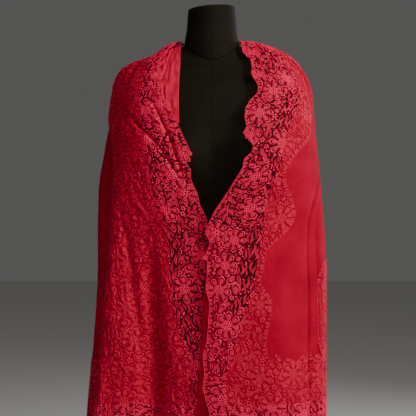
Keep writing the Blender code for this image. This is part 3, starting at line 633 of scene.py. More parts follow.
RIGHT_CUT = np.array([
    (0.000, 0.052), (0.070, 0.034), (0.135, 0.028), (0.200, 0.050), (0.251, 0.065), (0.340, 0.078),
    (0.504, 0.081), (0.587, 0.093), (0.661, 0.092), (0.740, 0.084), (1.000, 0.084),
])
HEM_BORDER = 0.095          # see-through lace above the hem of a front
BACK_BORDER = 0.030         # and above the hem of the back
HEM_LACE = 0.178            # all the lace above the hem
HEM_SCALLOP_LENGTH = 0.062
HEM_SCALLOP_REACH = 0.012
TOP_LOBE_LENGTH = 0.031
TOP_LOBE_REACH = 0.026
LOBE_UNEVENNESS = 0.25      # share of a lobe's reach that varies from one lobe to the next
LOBE_BEAT = 61.0
SHOULDER_CUT = 0.14         # share of the shoulder that is see-through
SHOULDER_LACE = 0.62        # share of the shoulder that is lace
SHOULDER_BLEND = 0.04       # how far down the cut edge takes to reach its own line


def free_edge(outline):
    return lambda down: np.interp(down, outline[:, 0], outline[:, 1])


def hem_drop(across):
    return HEM_SCALLOP_REACH * np.abs(np.sin(math.pi * across / HEM_SCALLOP_LENGTH))


def top_lobes(across):
    """How far the lace of the hem reaches up over the wool, in rounded lobes."""
    uneven = 1 - LOBE_UNEVENNESS + LOBE_UNEVENNESS * np.sin(across * LOBE_BEAT)
    return TOP_LOBE_REACH * uneven * np.sqrt(np.abs(np.sin(math.pi * across / TOP_LOBE_LENGTH)))


def left_lace_outline(down):
    outline = smooth(LEFT_LACE_END[:, 0], LEFT_LACE_END[:, 1], np.minimum(down, LEFT_LACE_END[-1, 0]))
    return np.minimum(outline, SHOULDER_LACE * left_chart.width(down))


def cut_edge(cut, chart, down):
    """Where the wool begins across a front. It meets the back's cut edge on the shoulder."""
    distance = smooth(cut[:, 0], cut[:, 1], down)
    near_shoulder = 1 - ease(down, 0.0, SHOULDER_BLEND)
    shoulder = SHOULDER_CUT * chart.width(down)
    return distance + (shoulder - distance) * near_shoulder


print("lace on the left front at mid height, m:", round(float(left_lace_outline(np.array(0.45))), 3))

# %% [markdown]
# ## The wool
#
# The wool is one sheet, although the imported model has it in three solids. The back's rows are read at the
# very places where the fronts' columns and rows end, and the doubled points are merged, so no seam shows on
# the shoulder or down the side folds.

# %% Making a mesh from grids
WOOL_CELL = (210, 130)      # cells down a front, and across it
BACK_CELLS = 100
BACK_CROWDING = 1.35        # crowds the back's columns towards the deep fold at the wearer's right
WOOL_SINK = 0.0001          # the wool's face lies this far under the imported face
DOUBLED = 1e-5              # points nearer than this are one point


def grid_quads(rows, columns, flipped=False):
    """Quads of a grid of points that is stored row by row."""
    first = (np.arange(rows - 1)[:, None] * columns + np.arange(columns - 1)).ravel()
    quads = np.stack([first, first + columns, first + columns + 1, first + 1], axis=1)
    return quads[:, ::-1] if flipped else quads


def mesh_object(name, points, faces, flat):
    """An object from points, faces and a flat place for each point, which becomes its UV map in metres."""
    mesh = bpy.data.meshes.new(name)
    mesh.from_pydata(points.tolist(), [], faces)
    layer = mesh.uv_layers.new(name="UVMap")
    corners = np.empty(len(mesh.loops), dtype=np.int32)
    mesh.loops.foreach_get("vertex_index", corners)
    layer.data.foreach_set("uv", flat[corners].astype(np.float32).ravel())
    mesh.shade_smooth()
    obj = bpy.data.objects.new(name, mesh)
    bpy.context.collection.objects.link(obj)
    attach(obj, "root")
    return obj


def merge_doubles(obj):
    work = bmesh.new()
    work.from_mesh(obj.data)
    bmesh.ops.remove_doubles(work, verts=work.verts, dist=DOUBLED)
    work.to_mesh(obj.data)
    work.free()


# %% Weaving the wool sheet


def front_wool(front, chart, cut, rows_at):
    downs = np.interp(rows_at, np.arange(len(front.stations)), front.stations) * front.length
    starts = cut_edge(cut, chart, downs)[:, None]
    share = np.linspace(0.0, 1.0, WOOL_CELL[1] + 1)
    across = starts + (chart.width(downs)[:, None] - starts) * share
    down = np.repeat(downs[:, None], len(share), axis=1)
    flat = np.stack([across * front.side, -down], axis=2)
    return chart.at(down, across, -WOOL_SINK), flat


def back_wool(rows_at, left_grid, right_grid):
    """The back's grid, whose outer columns are the very points of the fronts' borders."""
    shoulder = SHOULDER_CUT + (1 - SHOULDER_CUT) * np.linspace(0.0, 1.0, WOOL_CELL[1] + 1)
    places = np.concatenate([shoulder, 1 + rows_at[1:]])
    downs = np.interp(places, back.table[0], back.stations) * back.length
    downs = downs + (HEM_BORDER - BACK_BORDER) * ease(downs, downs[-1] - HEM_LACE, downs[-1])
    share = np.linspace(0.0, 1.0, BACK_CELLS + 1) ** BACK_CROWDING
    first = rear_chart.start(downs)[:, None]
    across = first + (rear_chart.width(downs)[:, None] - first) * share
    down = np.repeat(downs[:, None], len(share), axis=1)
    grid = rear_chart.at(down, across, -WOOL_SINK)
    grid[:, 0] = np.concatenate([right_grid[0], right_grid[1:, -1]])
    grid[:, -1] = np.concatenate([left_grid[0], left_grid[1:, -1]])
    return grid, np.stack([-across, -down], axis=2)


def weave_wool():
    downs = np.linspace(0.0, 1 - HEM_BORDER / left.length, WOOL_CELL[0] + 1)
    rows_at = np.interp(downs, left.stations, np.arange(len(left.stations)))
    left_grid, left_flat = front_wool(left, left_chart, LEFT_CUT, rows_at)
    right_grid, right_flat = front_wool(right, right_chart, RIGHT_CUT, rows_at)
    back_grid, back_flat = back_wool(rows_at, left_grid, right_grid)
    points, flats, faces, count = [], [], [], 0
    for grid, flat, flipped in (
        (left_grid, left_flat, False),
        (right_grid, right_flat, True),
        (back_grid, back_flat, True),
    ):
        faces += (grid_quads(*grid.shape[:2], flipped) + count).tolist()
        points.append(grid.reshape(-1, 3))
        flats.append(flat.reshape(-1, 2))
        count += len(points[-1])
    cloth = mesh_object("shawl_cloth", np.concatenate(points), faces, np.concatenate(flats))
    merge_doubles(cloth)
    return cloth


shawl_cloth = weave_wool()
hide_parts("wool_right_front", "wool_left_front", "wool_back")
print("wool faces:", len(shawl_cloth.data.polygons))

# %% [markdown]
# ## The net
#
# Lace starts as a fine net. Here each stretch of it is a thin sheet that follows the scalloped outlines,
# and its material later opens thousands of small holes. Its grid bends with the outlines, so the edges come
# out smooth without a cutter.

# %% Net sheets
LACE_RISE = 0.0007          # the net lies this far above the wool's packed face
# "backed" tells how far a place has wool behind it, from 0 to 1.
Region = namedtuple(
    "Region", "name node chart top bottom start stop backed scalloped_hem lobed_top", defaults=(False,)
)


def region_grid(region, rows, columns):
    """Flat places that fill a region, bent along its outlines."""
    downs = np.linspace(region.top, region.bottom, rows + 1)[:, None]
    starts, stops = region.start(downs), region.stop(downs)
    across = starts + (stops - starts) * np.linspace(0.0, 1.0, columns + 1)
    down = np.repeat(downs, columns + 1, axis=1)
    if region.scalloped_hem:
        down = down + hem_drop(across) * ease(down, region.bottom - HEM_BORDER, region.bottom)
    if region.lobed_top:
        down = down - top_lobes(across) * (1 - ease(down, region.top, region.top + 2 * TOP_LOBE_REACH))
    return down, across


def net_sheet(region, rows, columns):
    down, across = region_grid(region, rows, columns)
    points = region.chart.at(down, across, LACE_RISE)
    faces = grid_quads(rows + 1, columns + 1, region.chart.outward < 0).tolist()
    flat = np.stack([across, -down], axis=2).reshape(-1, 2)
    net = mesh_object("net_" + region.name, points.reshape(-1, 3), faces, flat)
    keep_values(net, "backed", region.backed(down, across))
    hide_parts(region.node)
    return net


def keep_values(obj, name, values):
    """Stores a number for each point, which a material can read by name."""
    attribute = obj.data.attributes.new(name, "FLOAT", "POINT")
    attribute.data.foreach_set("value", np.asarray(values, dtype=np.float32).ravel())


# %% Where the lace lies
SIDE_TOP = 0.917            # heights and widths of the tongue of lace on the left side fold
SIDE_BOTTOM = 0.694
SIDE_MIDDLE = 0.806
SIDE_HALF_HEIGHT = 0.112
SIDE_FRONT = (0.060, 0.098)
SIDE_BACK = (0.022, 0.048)
SIDE_CHART = (90, 80)


def side_chart():
    """A chart that runs over the left side fold, with across measured from the fold."""
    rows, columns = SIDE_CHART
    front_levels = left.table[FrontRow._fields.index("z_out")]
    back_levels = np.array([left.border(place)[2] for place in back.table[0]])
    heights = np.linspace(SIDE_TOP, SIDE_BOTTOM, rows)
    reach = np.linspace(-SIDE_FRONT[1], SIDE_BACK[1], columns)
    front_down = np.interp(-heights, -front_levels, left.stations)[:, None] * left.length
    back_down = np.interp(-heights, -back_levels, back.stations)[:, None] * back.length
    on_front = left_chart.at(front_down, left_chart.width(front_down) + np.minimum(reach, 0.0), 0.0)
    on_back = rear_chart.at(back_down, rear_chart.width(back_down) - np.maximum(reach, 0.0), 0.0)
    points = np.where((reach <= 0.0)[None, :, None], on_front, on_back)
    steps = np.full(rows, reach[1] - reach[0])
    return Chart(points, SIDE_TOP - heights, np.full(rows, reach[0]), steps, 1)


def side_width(widths):
    def width(down):
        height = (SIDE_TOP - down - SIDE_MIDDLE) / SIDE_HALF_HEIGHT
        bulge = np.sqrt(np.clip(1 - height**2, 0.0, 1.0))
        return widths[0] + (widths[1] - widths[0]) * bulge

    return width


neck_cut_end = np.interp(SHOULDER_CUT, back.table[0], back.stations) * back.length
neck_lace_end = np.interp(SHOULDER_LACE, back.table[0], back.stations) * back.length
BLEND = 0.004


def above_hem(down, length, border=HEM_BORDER):
    return 1 - ease(down, length - border - BLEND, length - border)


def backed_front(cut, chart, length):
    def backed(down, across):
        inside = ease(across - cut_edge(cut, chart, np.minimum(down, length)), 0.0, BLEND)
        return inside * above_hem(down, length)

    return backed


REGIONS = [
    Region(
        "right_front", "lace_right_front", right_chart, 0.0, right.length,
        free_edge(RIGHT_EDGE), right_chart.width,
        backed_front(RIGHT_CUT, right_chart, right.length), True,
    ),
    Region(
        "left_front", "lace_left_front", left_chart, 0.0, left.length,
        free_edge(LEFT_EDGE), left_lace_outline,
        backed_front(LEFT_CUT, left_chart, left.length), True,
    ),
    Region(
        "left_hem", "lace_left_hem", left_chart, left.length - HEM_LACE, left.length,
        left_lace_outline, left_chart.width,
        lambda down, across: above_hem(down, left.length), True, True,
    ),
    Region(
        "back_neck", "lace_back_neck", rear_chart, 0.0, neck_lace_end,
        rear_chart.start, rear_chart.width,
        lambda down, across: ease(down, neck_cut_end, neck_cut_end + BLEND), False,
    ),
    Region(
        "back_hem", "lace_back_hem", rear_chart, back.length - HEM_LACE, back.length,
        rear_chart.start, rear_chart.width,
        lambda down, across: above_hem(down, back.length, BACK_BORDER), True,
    ),
    Region(
        "left_side", "lace_left_side", side_chart(), 0.0, SIDE_TOP - SIDE_BOTTOM,
        lambda down: -side_width(SIDE_FRONT)(down), side_width(SIDE_BACK),
        lambda down, across: np.ones_like(down), False,
    ),
]
NET_CELLS = {
    "right_front": (230, 120),
    "left_front": (230, 60),
    "left_hem": (50, 90),
    "back_neck": (44, 100),
    "back_hem": (40, 170),
    "left_side": (44, 34),
}
nets = {region.name: net_sheet(region, *NET_CELLS[region.name]) for region in REGIONS}
print("net sheets:", ", ".join(nets))

# %% [markdown]
# ## Drawing lace flat
#
# Every shape in the lace is a stroke: a line with a width at each point and a ridged section across it. A
# petal is a wide short stroke, a leaf a pointed one, and a ribbon a long even one. Real petals have a corded
# rim and stitched ribs, so the section across a petal rises at its edges and again between the grooves.

# %% Strokes and how to join and move them
# A shape's tone is painted shade, 0 in its grooves and hollows and 1 on its ridges, and its marks are places
# that it covers.
Shape = namedtuple("Shape", "points flat tone quads tris marks")
Section = namedtuple("Section", "offsets heights slits")       # slits: intervals that are left open
MARK_GAP = 0.0011
FULL_RISE_FROM = 0.3        # a stroke narrower than this share of its full width is lower, too
# the painted shade in the deepest grooves and in the holes
DEEPEST_GROOVE_SHADE = 0.3

BUD_SECTION = Section(
    (-1, -0.84, -0.56, -0.28, 0, 0.28, 0.56, 0.84, 1),
    (0, 1, 0.2, 0.8, 0.2, 0.8, 0.2, 1, 0),
    (),
)
LEAF_SECTION = Section(
    (-1, -0.82, -0.58, -0.40, -0.10, 0.10, 0.40, 0.58, 0.82, 1),
    (0, 1, 0.2, 0.2, 0.75, 0.75, 0.2, 0.2, 1, 0),
    (2, 6),
)
SPLIT_SECTION = Section(
    (-1, -0.78, -0.50, -0.18, 0.18, 0.50, 0.78, 1), (0, 1, 0.4, 0.1, 0.1, 0.4, 1, 0), (3,)
)
RIBBON_SECTION = Section((-1, -0.72, -0.36, 0.36, 0.72, 1), (0, 1, 0.15, 0.15, 1, 0), ())
CORD_SECTION = Section((-1, -0.5, 0.5, 1), (0, 1, 1, 0), ())


def section_quads(samples, section):
    """The quads of a stroke, without those of its slits."""
    quads = grid_quads(samples, len(section.offsets))
    interval = np.tile(np.arange(len(section.offsets) - 1), samples - 1)
    return quads[~np.isin(interval, section.slits)]


def stroke(line, half_widths, rise, section):
    line = np.asarray(line, dtype=float)
    half_widths = np.broadcast_to(half_widths, len(line)).astype(float)
    travel = np.gradient(line, axis=0)
    travel /= np.linalg.norm(travel, axis=1, keepdims=True) + TINY
    sideways = np.stack([-travel[:, 1], travel[:, 0]], axis=1)
    offsets, heights = np.array(section.offsets, dtype=float), np.array(section.heights, dtype=float)
    reach = half_widths[:, None] * offsets
    places = line[:, None] + sideways[:, None] * reach[..., None]
    thinning = np.minimum(half_widths / half_widths.max() / FULL_RISE_FROM, 1.0)
    up = rise * thinning[:, None] * heights
    points = np.concatenate([places, up[..., None]], axis=2).reshape(-1, 3)
    # Painted shade along the section: darker where the stroke lies low, never below the deepest groove shade.
    tone = np.tile(np.maximum(heights, DEEPEST_GROOVE_SHADE), len(line))
    run = distances(line)
    flat = np.stack([reach, np.repeat(run[:, None], len(offsets), axis=1)], axis=2).reshape(-1, 2)
    steps = max(int(run[-1] / MARK_GAP), 2)
    fine = np.linspace(0.0, run[-1], steps)
    middle = np.stack([np.interp(fine, run, axis) for axis in line.T], axis=1)
    side = np.stack([np.interp(fine, run, axis) for axis in sideways.T], axis=1)
    lanes = max(int(2 * half_widths.max() / MARK_GAP), 2)
    spread = np.linspace(-1.0, 1.0, lanes) * np.interp(fine, run, half_widths)[:, None]
    marks = (middle[:, None] + side[:, None] * spread[..., None]).reshape(-1, 2)
    return Shape(points, flat, tone, section_quads(len(line), section), np.empty((0, 3), int), marks)


def join_shapes(shapes):
    quads, tris, count = [], [], 0
    for shape in shapes:
        quads.append(shape.quads + count)
        tris.append(shape.tris + count)
        count += len(shape.points)
    return Shape(
        np.concatenate([shape.points for shape in shapes]),
        np.concatenate([shape.flat for shape in shapes]),
        np.concatenate([shape.tone for shape in shapes]),
        np.concatenate(quads),
        np.concatenate(tris),
        np.concatenate([shape.marks for shape in shapes]),
    )


def turned(places, spot, turn, size, mirrored):
    """Flat places turned, scaled and moved to a spot."""
    c, s = math.cos(turn) * size, math.sin(turn) * size
    side = places[:, 1] * (-1 if mirrored else 1)
    return np.stack([places[:, 0] * c - side * s + spot[0], places[:, 0] * s + side * c + spot[1]], axis=1)


def moved_shape(shape, spot, turn, size, mirrored):
    places = turned(shape.points[:, :2], spot, turn, size, mirrored)
    points = np.concatenate([places, shape.points[:, 2:]], axis=1)
    quads = shape.quads[:, ::-1] if mirrored else shape.quads
    tris = shape.tris[:, ::-1] if mirrored else shape.tris
    marks = turned(shape.marks, spot, turn, size, mirrored)
    return Shape(points, shape.flat * size, shape.tone, quads, tris, marks)


def arc(length, bend, count, start=(0.0, 0.0), heading=0.0):
    """A line of points that turns evenly through the angle bend over its length."""
    angles = heading + bend * np.linspace(0.0, 1.0, count)
    steps = np.stack([np.cos(angles), np.sin(angles)], axis=1)[:-1] * length / (count - 1)
    return np.concatenate([[start], np.asarray(start) + np.cumsum(steps, axis=0)])


# %% Petals, leaves and berries
PETAL_RISE = 0.0013
LEAF_RISE = 0.0012
RIBBON_RISE = 0.0013
CORD_RISE = 0.0014
PETAL_FOOT = 0.42           # a petal's width at its foot
PETAL_FULLNESS = (0.78, 0.30)       # how full it is near its foot, and how much fuller at its tip
LEAF_SKEW = 0.85            # below 1, a leaf is widest nearer its foot
LEAF_FULLNESS = 0.8         # below 1, it stays wide for longer
BERRY_RINGS = ((1.0, 0.0), (0.85, 0.7), (0.45, 1.0))        # shares of the radius and of the height
BERRY_HEIGHT = 0.6          # share of its radius
CELL_SIDES = 6
HOLE_WALL = 0.92            # a hole's radius at the net, as a share of its radius on top
CELL_EDGE = (0.6, 0.75)     # height and tone where two cells meet


def petal(start, length, half_width, heading, bend, section, samples):
    """A broad petal, narrow at its foot and round at its tip."""
    share = np.sin(np.linspace(0.0, math.pi / 2, samples))
    line = arc(length, bend, samples)
    run = distances(line)
    line = np.stack([np.interp(share * run[-1], run, axis) for axis in line.T], axis=1)
    belly = np.sqrt(np.clip(1 - (2 * share - 1) ** 2, 0.0, 1.0))
    fullness = PETAL_FULLNESS[0] + PETAL_FULLNESS[1] * share
    widths = half_width * np.maximum(belly * fullness, PETAL_FOOT * (1 - share))
    return moved_shape(stroke(line, widths, PETAL_RISE, section), polar(start, heading), heading, 1.0, False)


def leaf(length, half_width, bend, start=(0.0, 0.0), heading=0.0, section=LEAF_SECTION, samples=9):
    share = np.linspace(0.0, 1.0, samples)
    widths = half_width * np.sin(math.pi * share**LEAF_SKEW) ** LEAF_FULLNESS
    return stroke(arc(length, bend, samples, start, heading), widths, LEAF_RISE, section)


def polar(distance, heading):
    return (distance * math.cos(heading), distance * math.sin(heading))


def circle(sides, turn=0.0):
    angle = turn + 2 * math.pi * np.arange(sides) / sides
    return np.stack([np.cos(angle), np.sin(angle)], axis=1)


def ring_quads(low, high, sides):
    """Quads between two rings of points, which are numbered from low and from high."""
    first = np.arange(sides)
    after = (first + 1) % sides
    return np.stack([low + first, low + after, high + after, high + first], axis=1)


def ring_tris(ring, middle, sides):
    first = np.arange(sides)
    return np.stack([ring + first, ring + (first + 1) % sides, np.full(sides, middle)], axis=1)


def berry(radius):
    """A small round knot: a flat-topped dome."""
    sides = CELL_SIDES
    outline = circle(sides) * radius
    height = BERRY_HEIGHT * radius
    points = [np.c_[outline * share, np.full(sides, height * up)] for share, up in BERRY_RINGS]
    points = np.concatenate([*points, [[0.0, 0.0, height]]])
    quads = np.concatenate([ring_quads(0, sides, sides), ring_quads(sides, 2 * sides, sides)])
    marks = np.concatenate([[[0.0, 0.0]], outline, outline * 0.5])
    tris = ring_tris(2 * sides, 3 * sides, sides)
    return Shape(points, points[:, :2].copy(), np.ones(len(points)), quads, tris, marks)


def honeycomb(rings, pitch, hole):
    """The dotted heart of a flower: six-sided cells, each with a hole."""
    sides = CELL_SIDES
    outline = circle(sides, math.pi / sides)
    rims = [(pitch / math.sqrt(3), CELL_EDGE[0]), (hole, 1.0), (hole * HOLE_WALL, 0.0)]
    points = np.concatenate([np.c_[outline * radius, np.full(sides, PETAL_RISE * up)] for radius, up in rims])
    quads = np.concatenate([ring_quads(0, sides, sides), ring_quads(sides, 2 * sides, sides)])
    marks = np.concatenate([[[0.0, 0.0]], outline * pitch * 0.5])
    # Painted shade: the wall of each hole is darkest, the rim round it lightest.
    tone = np.repeat([CELL_EDGE[1], 1.0, DEEPEST_GROOVE_SHADE], sides)
    cell = Shape(points, points[:, :2].copy(), tone, quads, np.empty((0, 3), int), marks)
    spots = [
        (pitch * (i + j / 2), pitch * j * math.sqrt(3) / 2)
        for i in range(-rings, rings + 1) for j in range(-rings, rings + 1) if abs(i + j) <= rings
    ]
    return join_shapes([moved_shape(cell, spot, 0.0, 1.0, False) for spot in spots])


print("points in a leaf:", len(leaf(0.02, 0.004, 0.0).points))

# %% Flowers, sprays and ribbons
# The rings of a fan are shares of its outline and of its rise. Between two of them it is left open.
FAN_RINGS = ((1.0, 0.0), (0.88, 1.0), (0.74, 0.3), (0.62, 0.3), (0.52, 0.9), (0.36, 0.2), (0.20, 0.7))
FAN_SLIT = 2
FAN_FOCUS = 0.14            # where the ribs of a petal draw together, as a share of its length
FAN_SIDES = 14
FAN_LENGTH = (0.52, 0.48)   # where its middle lies, and how far it reaches from there
FAN_WIDTH = (0.62, 0.38)    # how wide it is at its foot, and how much wider at its tip
FAN_FRILL = 0.07
FAN_MIDDLE = (0.5, 0.6)     # height and tone of the point where its rings close
FAN_MARKS = (0.97, 0.85, 0.7, 0.55, 0.4, 0.2)
HEART_PITCH = 0.0057
HEART_HOLE = 0.00175
HEART_FILL = (0.35, 0.88)   # the heart's radius is (rings + 0.35) times 0.88 of a pitch
PETALS_LAP = 0.96           # petals start inside the heart's radius
PETAL_DRIFT = (-0.10, 0.10)         # how far a petal lies from its place, as a share of the gap
PETAL_LENGTHS = (0.84, 1.12)
PETAL_WIDTHS = (0.92, 1.10)
FLORET_PETALS = 5
FLORET_FOOT = 0.24          # where a floret's petals start, as a share of its radius
FLORET_WIDTH = 0.40
STEM_SAMPLES = 10
STEM_HALF_WIDTH = 0.0010
BLADE_SHRINKS = 0.35        # how much smaller the last leaf on a stem is than the first
BLADE_SIZES = (0.9, 1.1)
BLADE_LEAN = (0.65, 0.9)
BLADE_BEND = 0.7
TIP_BLADE = (0.8, 0.3)      # size and bend of the leaf at a stem's tip
RIBBON_STEP = 0.0040
RIBBON_ENDS = (-0.003, 0.010)       # over what distance a ribbon widens at each end


def fan(start, length, half_width, heading, frills):
    """A frilled petal with ribs that follow its outline, one inside the other."""
    angle = 2 * math.pi * np.arange(FAN_SIDES) / FAN_SIDES
    frill = 1 + FAN_FRILL * np.cos(frills * angle) * (1 + np.cos(angle)) / 2
    x = length * (FAN_LENGTH[0] + FAN_LENGTH[1] * np.cos(angle) * frill)
    y = half_width * np.sin(angle) * frill * (FAN_WIDTH[0] + FAN_WIDTH[1] * x / length)
    focus = np.array([FAN_FOCUS * length, 0.0])
    outline = np.stack([x, y], axis=1) - focus
    rings = [np.c_[focus + outline * share, np.full(FAN_SIDES, PETAL_RISE * up)] for share, up in FAN_RINGS]
    points = np.concatenate([*rings, [[*focus, FAN_MIDDLE[0] * PETAL_RISE]]])
    # Painted shade: each ring is as light as it is high.
    tone = np.repeat([max(up, DEEPEST_GROOVE_SHADE) for _, up in FAN_RINGS], FAN_SIDES)
    starts = np.arange(len(FAN_RINGS)) * FAN_SIDES
    quads = np.concatenate([
        ring_quads(starts[k], starts[k + 1], FAN_SIDES) for k in range(len(starts) - 1) if k != FAN_SLIT
    ])
    tris = ring_tris(starts[-1], len(points) - 1, FAN_SIDES)
    marks = np.concatenate([focus + outline * share for share in FAN_MARKS])
    shape = Shape(points, points[:, :2].copy(), np.append(tone, FAN_MIDDLE[1]), quads, tris, marks)
    return moved_shape(shape, polar(start, heading), heading, 1.0, False)


def flower(petals, heart_rings, radius, half_width, dice):
    """An open flower: uneven petals round a dotted heart."""
    heart = (heart_rings + HEART_FILL[0]) * HEART_PITCH * HEART_FILL[1]
    parts = [honeycomb(heart_rings, HEART_PITCH, HEART_HOLE)]
    for k in range(petals):
        heading = 2 * math.pi * (k + dice.uniform(*PETAL_DRIFT)) / petals
        length = (radius - heart) * dice.uniform(*PETAL_LENGTHS)
        width = half_width * dice.uniform(*PETAL_WIDTHS)
        parts.append(fan(heart * PETALS_LAP, length, width, heading, frills=4 + k % 3))
    return join_shapes(parts)


def floret(radius):
    """Round petals about a small hole."""
    foot, width = FLORET_FOOT * radius, FLORET_WIDTH * radius
    headings = 2 * math.pi * np.arange(FLORET_PETALS) / FLORET_PETALS
    return join_shapes([petal(foot, radius - foot, width, turn, 0.0, CORD_SECTION, 5) for turn in headings])


def direction(points, k):
    """Which way a line of points runs just after its point k."""
    return math.atan2(*(points[k + 1] - points[k])[::-1])


def spray(length, bend, blades, blade_length, slimness, section, dice):
    """A curved stem with leaves to both sides, larger near its foot, and one at its tip."""
    stem = arc(length, bend, STEM_SAMPLES)
    parts = [stroke(stem, STEM_HALF_WIDTH, CORD_RISE, CORD_SECTION)]
    for k in range(blades):
        at = 1 + int((k + 0.5) / blades * (STEM_SAMPLES - 3))
        side = 1 if k % 2 else -1
        size = blade_length * (1 - BLADE_SHRINKS * k / blades) * dice.uniform(*BLADE_SIZES)
        heading = direction(stem, at) + side * dice.uniform(*BLADE_LEAN)
        parts.append(leaf(size, size * slimness, -side * BLADE_BEND, stem[at], heading, section, 6))
    tip_size, tip_bend = TIP_BLADE[0] * blade_length, TIP_BLADE[1] * bend
    tip_width = blade_length * slimness
    parts.append(leaf(tip_size, tip_width, tip_bend, stem[-1], direction(stem, -2), section, 6))
    return join_shapes(parts)


def ribbon(length, sway, wave, half_width):
    """A long wavy ribbon with a cord along each edge."""
    run = np.linspace(0.0, length, max(int(length / RIBBON_STEP), 6))
    line = np.stack([run, sway * np.sin(2 * math.pi * run / wave)], axis=1)
    ends = ease(np.minimum(run, length - run), *RIBBON_ENDS)
    return stroke(line, half_width * ends, RIBBON_RISE, RIBBON_SECTION)


def bud(radius, dice):
    """A round bud of curled ribs."""
    return petal(-radius, 2 * radius, radius, dice.uniform(0.0, 2 * math.pi), 0.5, BUD_SECTION, 8)


print("points in a floret:", len(floret(0.0064).points))

# %% Kinds of motif
# A kind of motif is tried at open spots with so many millimetres free about them, up to a number per
# square metre, and with several turns at each. "room" is the share of it that must be free.
Motif = namedtuple("Motif", "name shapes most clear sizes turns tries room")
ANY_TURN = (0.0, 2 * math.pi)
DOWNWARDS = (-0.45, 0.45)
motif_dice = np.random.default_rng(21)


def variants(make, count):
    return [make(motif_dice) for _ in range(count)]


LARGE_FLOWERS = variants(lambda d: flower(8, 2, 0.0340, 0.0090, d), 4)
SMALL_FLOWERS = variants(lambda d: flower(7, 1, 0.0200, 0.0064, d), 4)
FANS = [fan(-0.015, 0.030, 0.0100, 0.0, 5), fan(-0.012, 0.024, 0.0080, 0.0, 4)]
FERNS = variants(lambda d: spray(0.050, d.uniform(-1.2, 1.2), 9, 0.019, 0.12, RIBBON_SECTION, d), 5)
SPRAYS = variants(lambda d: spray(0.030, d.uniform(-1.4, 1.4), 3, 0.024, 0.19, LEAF_SECTION, d), 5)
TWIGS = variants(lambda d: spray(0.020, d.uniform(-1.0, 1.0), 4, 0.013, 0.16, RIBBON_SECTION, d), 5)
LEAVES = [leaf(0.026, 0.0050, 0.9), leaf(0.021, 0.0046, 1.2, section=SPLIT_SECTION)]
LONG_RIBBONS = [ribbon(0.070, 0.0040, 0.032, 0.0029), ribbon(0.044, 0.0030, 0.026, 0.0027)]
SMALL_LEAF = leaf(0.0125, 0.0025, 0.7, section=SPLIT_SECTION, samples=6)
MOTIFS = [
    Motif("large flower", LARGE_FLOWERS, 60, 16, (0.80, 0.95), ANY_TURN, 1, 0.95),
    Motif("spray", SPRAYS, 380, 5, (0.8, 1.15), ANY_TURN, 3, 0.94),
    Motif("small flower", SMALL_FLOWERS, 60, 9, (0.85, 1.05), ANY_TURN, 1, 0.97),
    Motif("fern", FERNS, 180, 4, (0.8, 1.1), ANY_TURN, 3, 0.95),
    Motif("fan", FANS, 100, 6, (0.8, 1.15), ANY_TURN, 2, 0.96),
    Motif("ribbon", LONG_RIBBONS, 330, 3, (0.8, 1.1), DOWNWARDS, 4, 0.96),
    Motif("bud", variants(lambda d: bud(0.0048, d), 3), 120, 5, (0.8, 1.15), ANY_TURN, 1, 0.98),
    Motif("floret", [floret(0.0064)], 1000, 5, (0.9, 1.1), ANY_TURN, 2, 0.97),
    Motif("leaf", LEAVES, 1500, 4, (0.75, 1.1), ANY_TURN, 4, 0.95),
    Motif("twig", TWIGS, 400, 4, (0.8, 1.1), ANY_TURN, 4, 0.95),
    Motif("short ribbon", [ribbon(0.022, 0.0018, 0.018, 0.0022)], 1500, 3, (0.8, 1.2), DOWNWARDS, 4, 0.96),
    Motif("small leaf", [SMALL_LEAF], 1600, 3, (0.8, 1.1), ANY_TURN, 4, 0.96),
    Motif("berry", [berry(0.0026)], 2800, 3, (0.8, 1.1), ANY_TURN, 1, 1.0),
]
print("kinds of motif:", len(MOTIFS) + 1)

# %% [markdown]
# ## Filling the lace
#
# A lace maker fits the flowers first, then the wavy ribbons beside the wool's cut edge and the leaves, and
# closes the last gaps with tiny florets and knots. The same order works here: a board of square millimetres
# remembers what is taken, and each motif is tried at random spots until it no longer fits. The dice are
# seeded, so the lace never changes.

# %% A board of square millimetres
SQUARE = 0.001
RIM_MARGIN = 0.0006
BACKED_SHARE = 0.35         # of the open spots over wool that are tried
SPOTS_FOR_EACH = 9          # how many spots are tried for each motif wanted
ROOM_STEP = 3               # every third mark is enough to see whether a motif fits


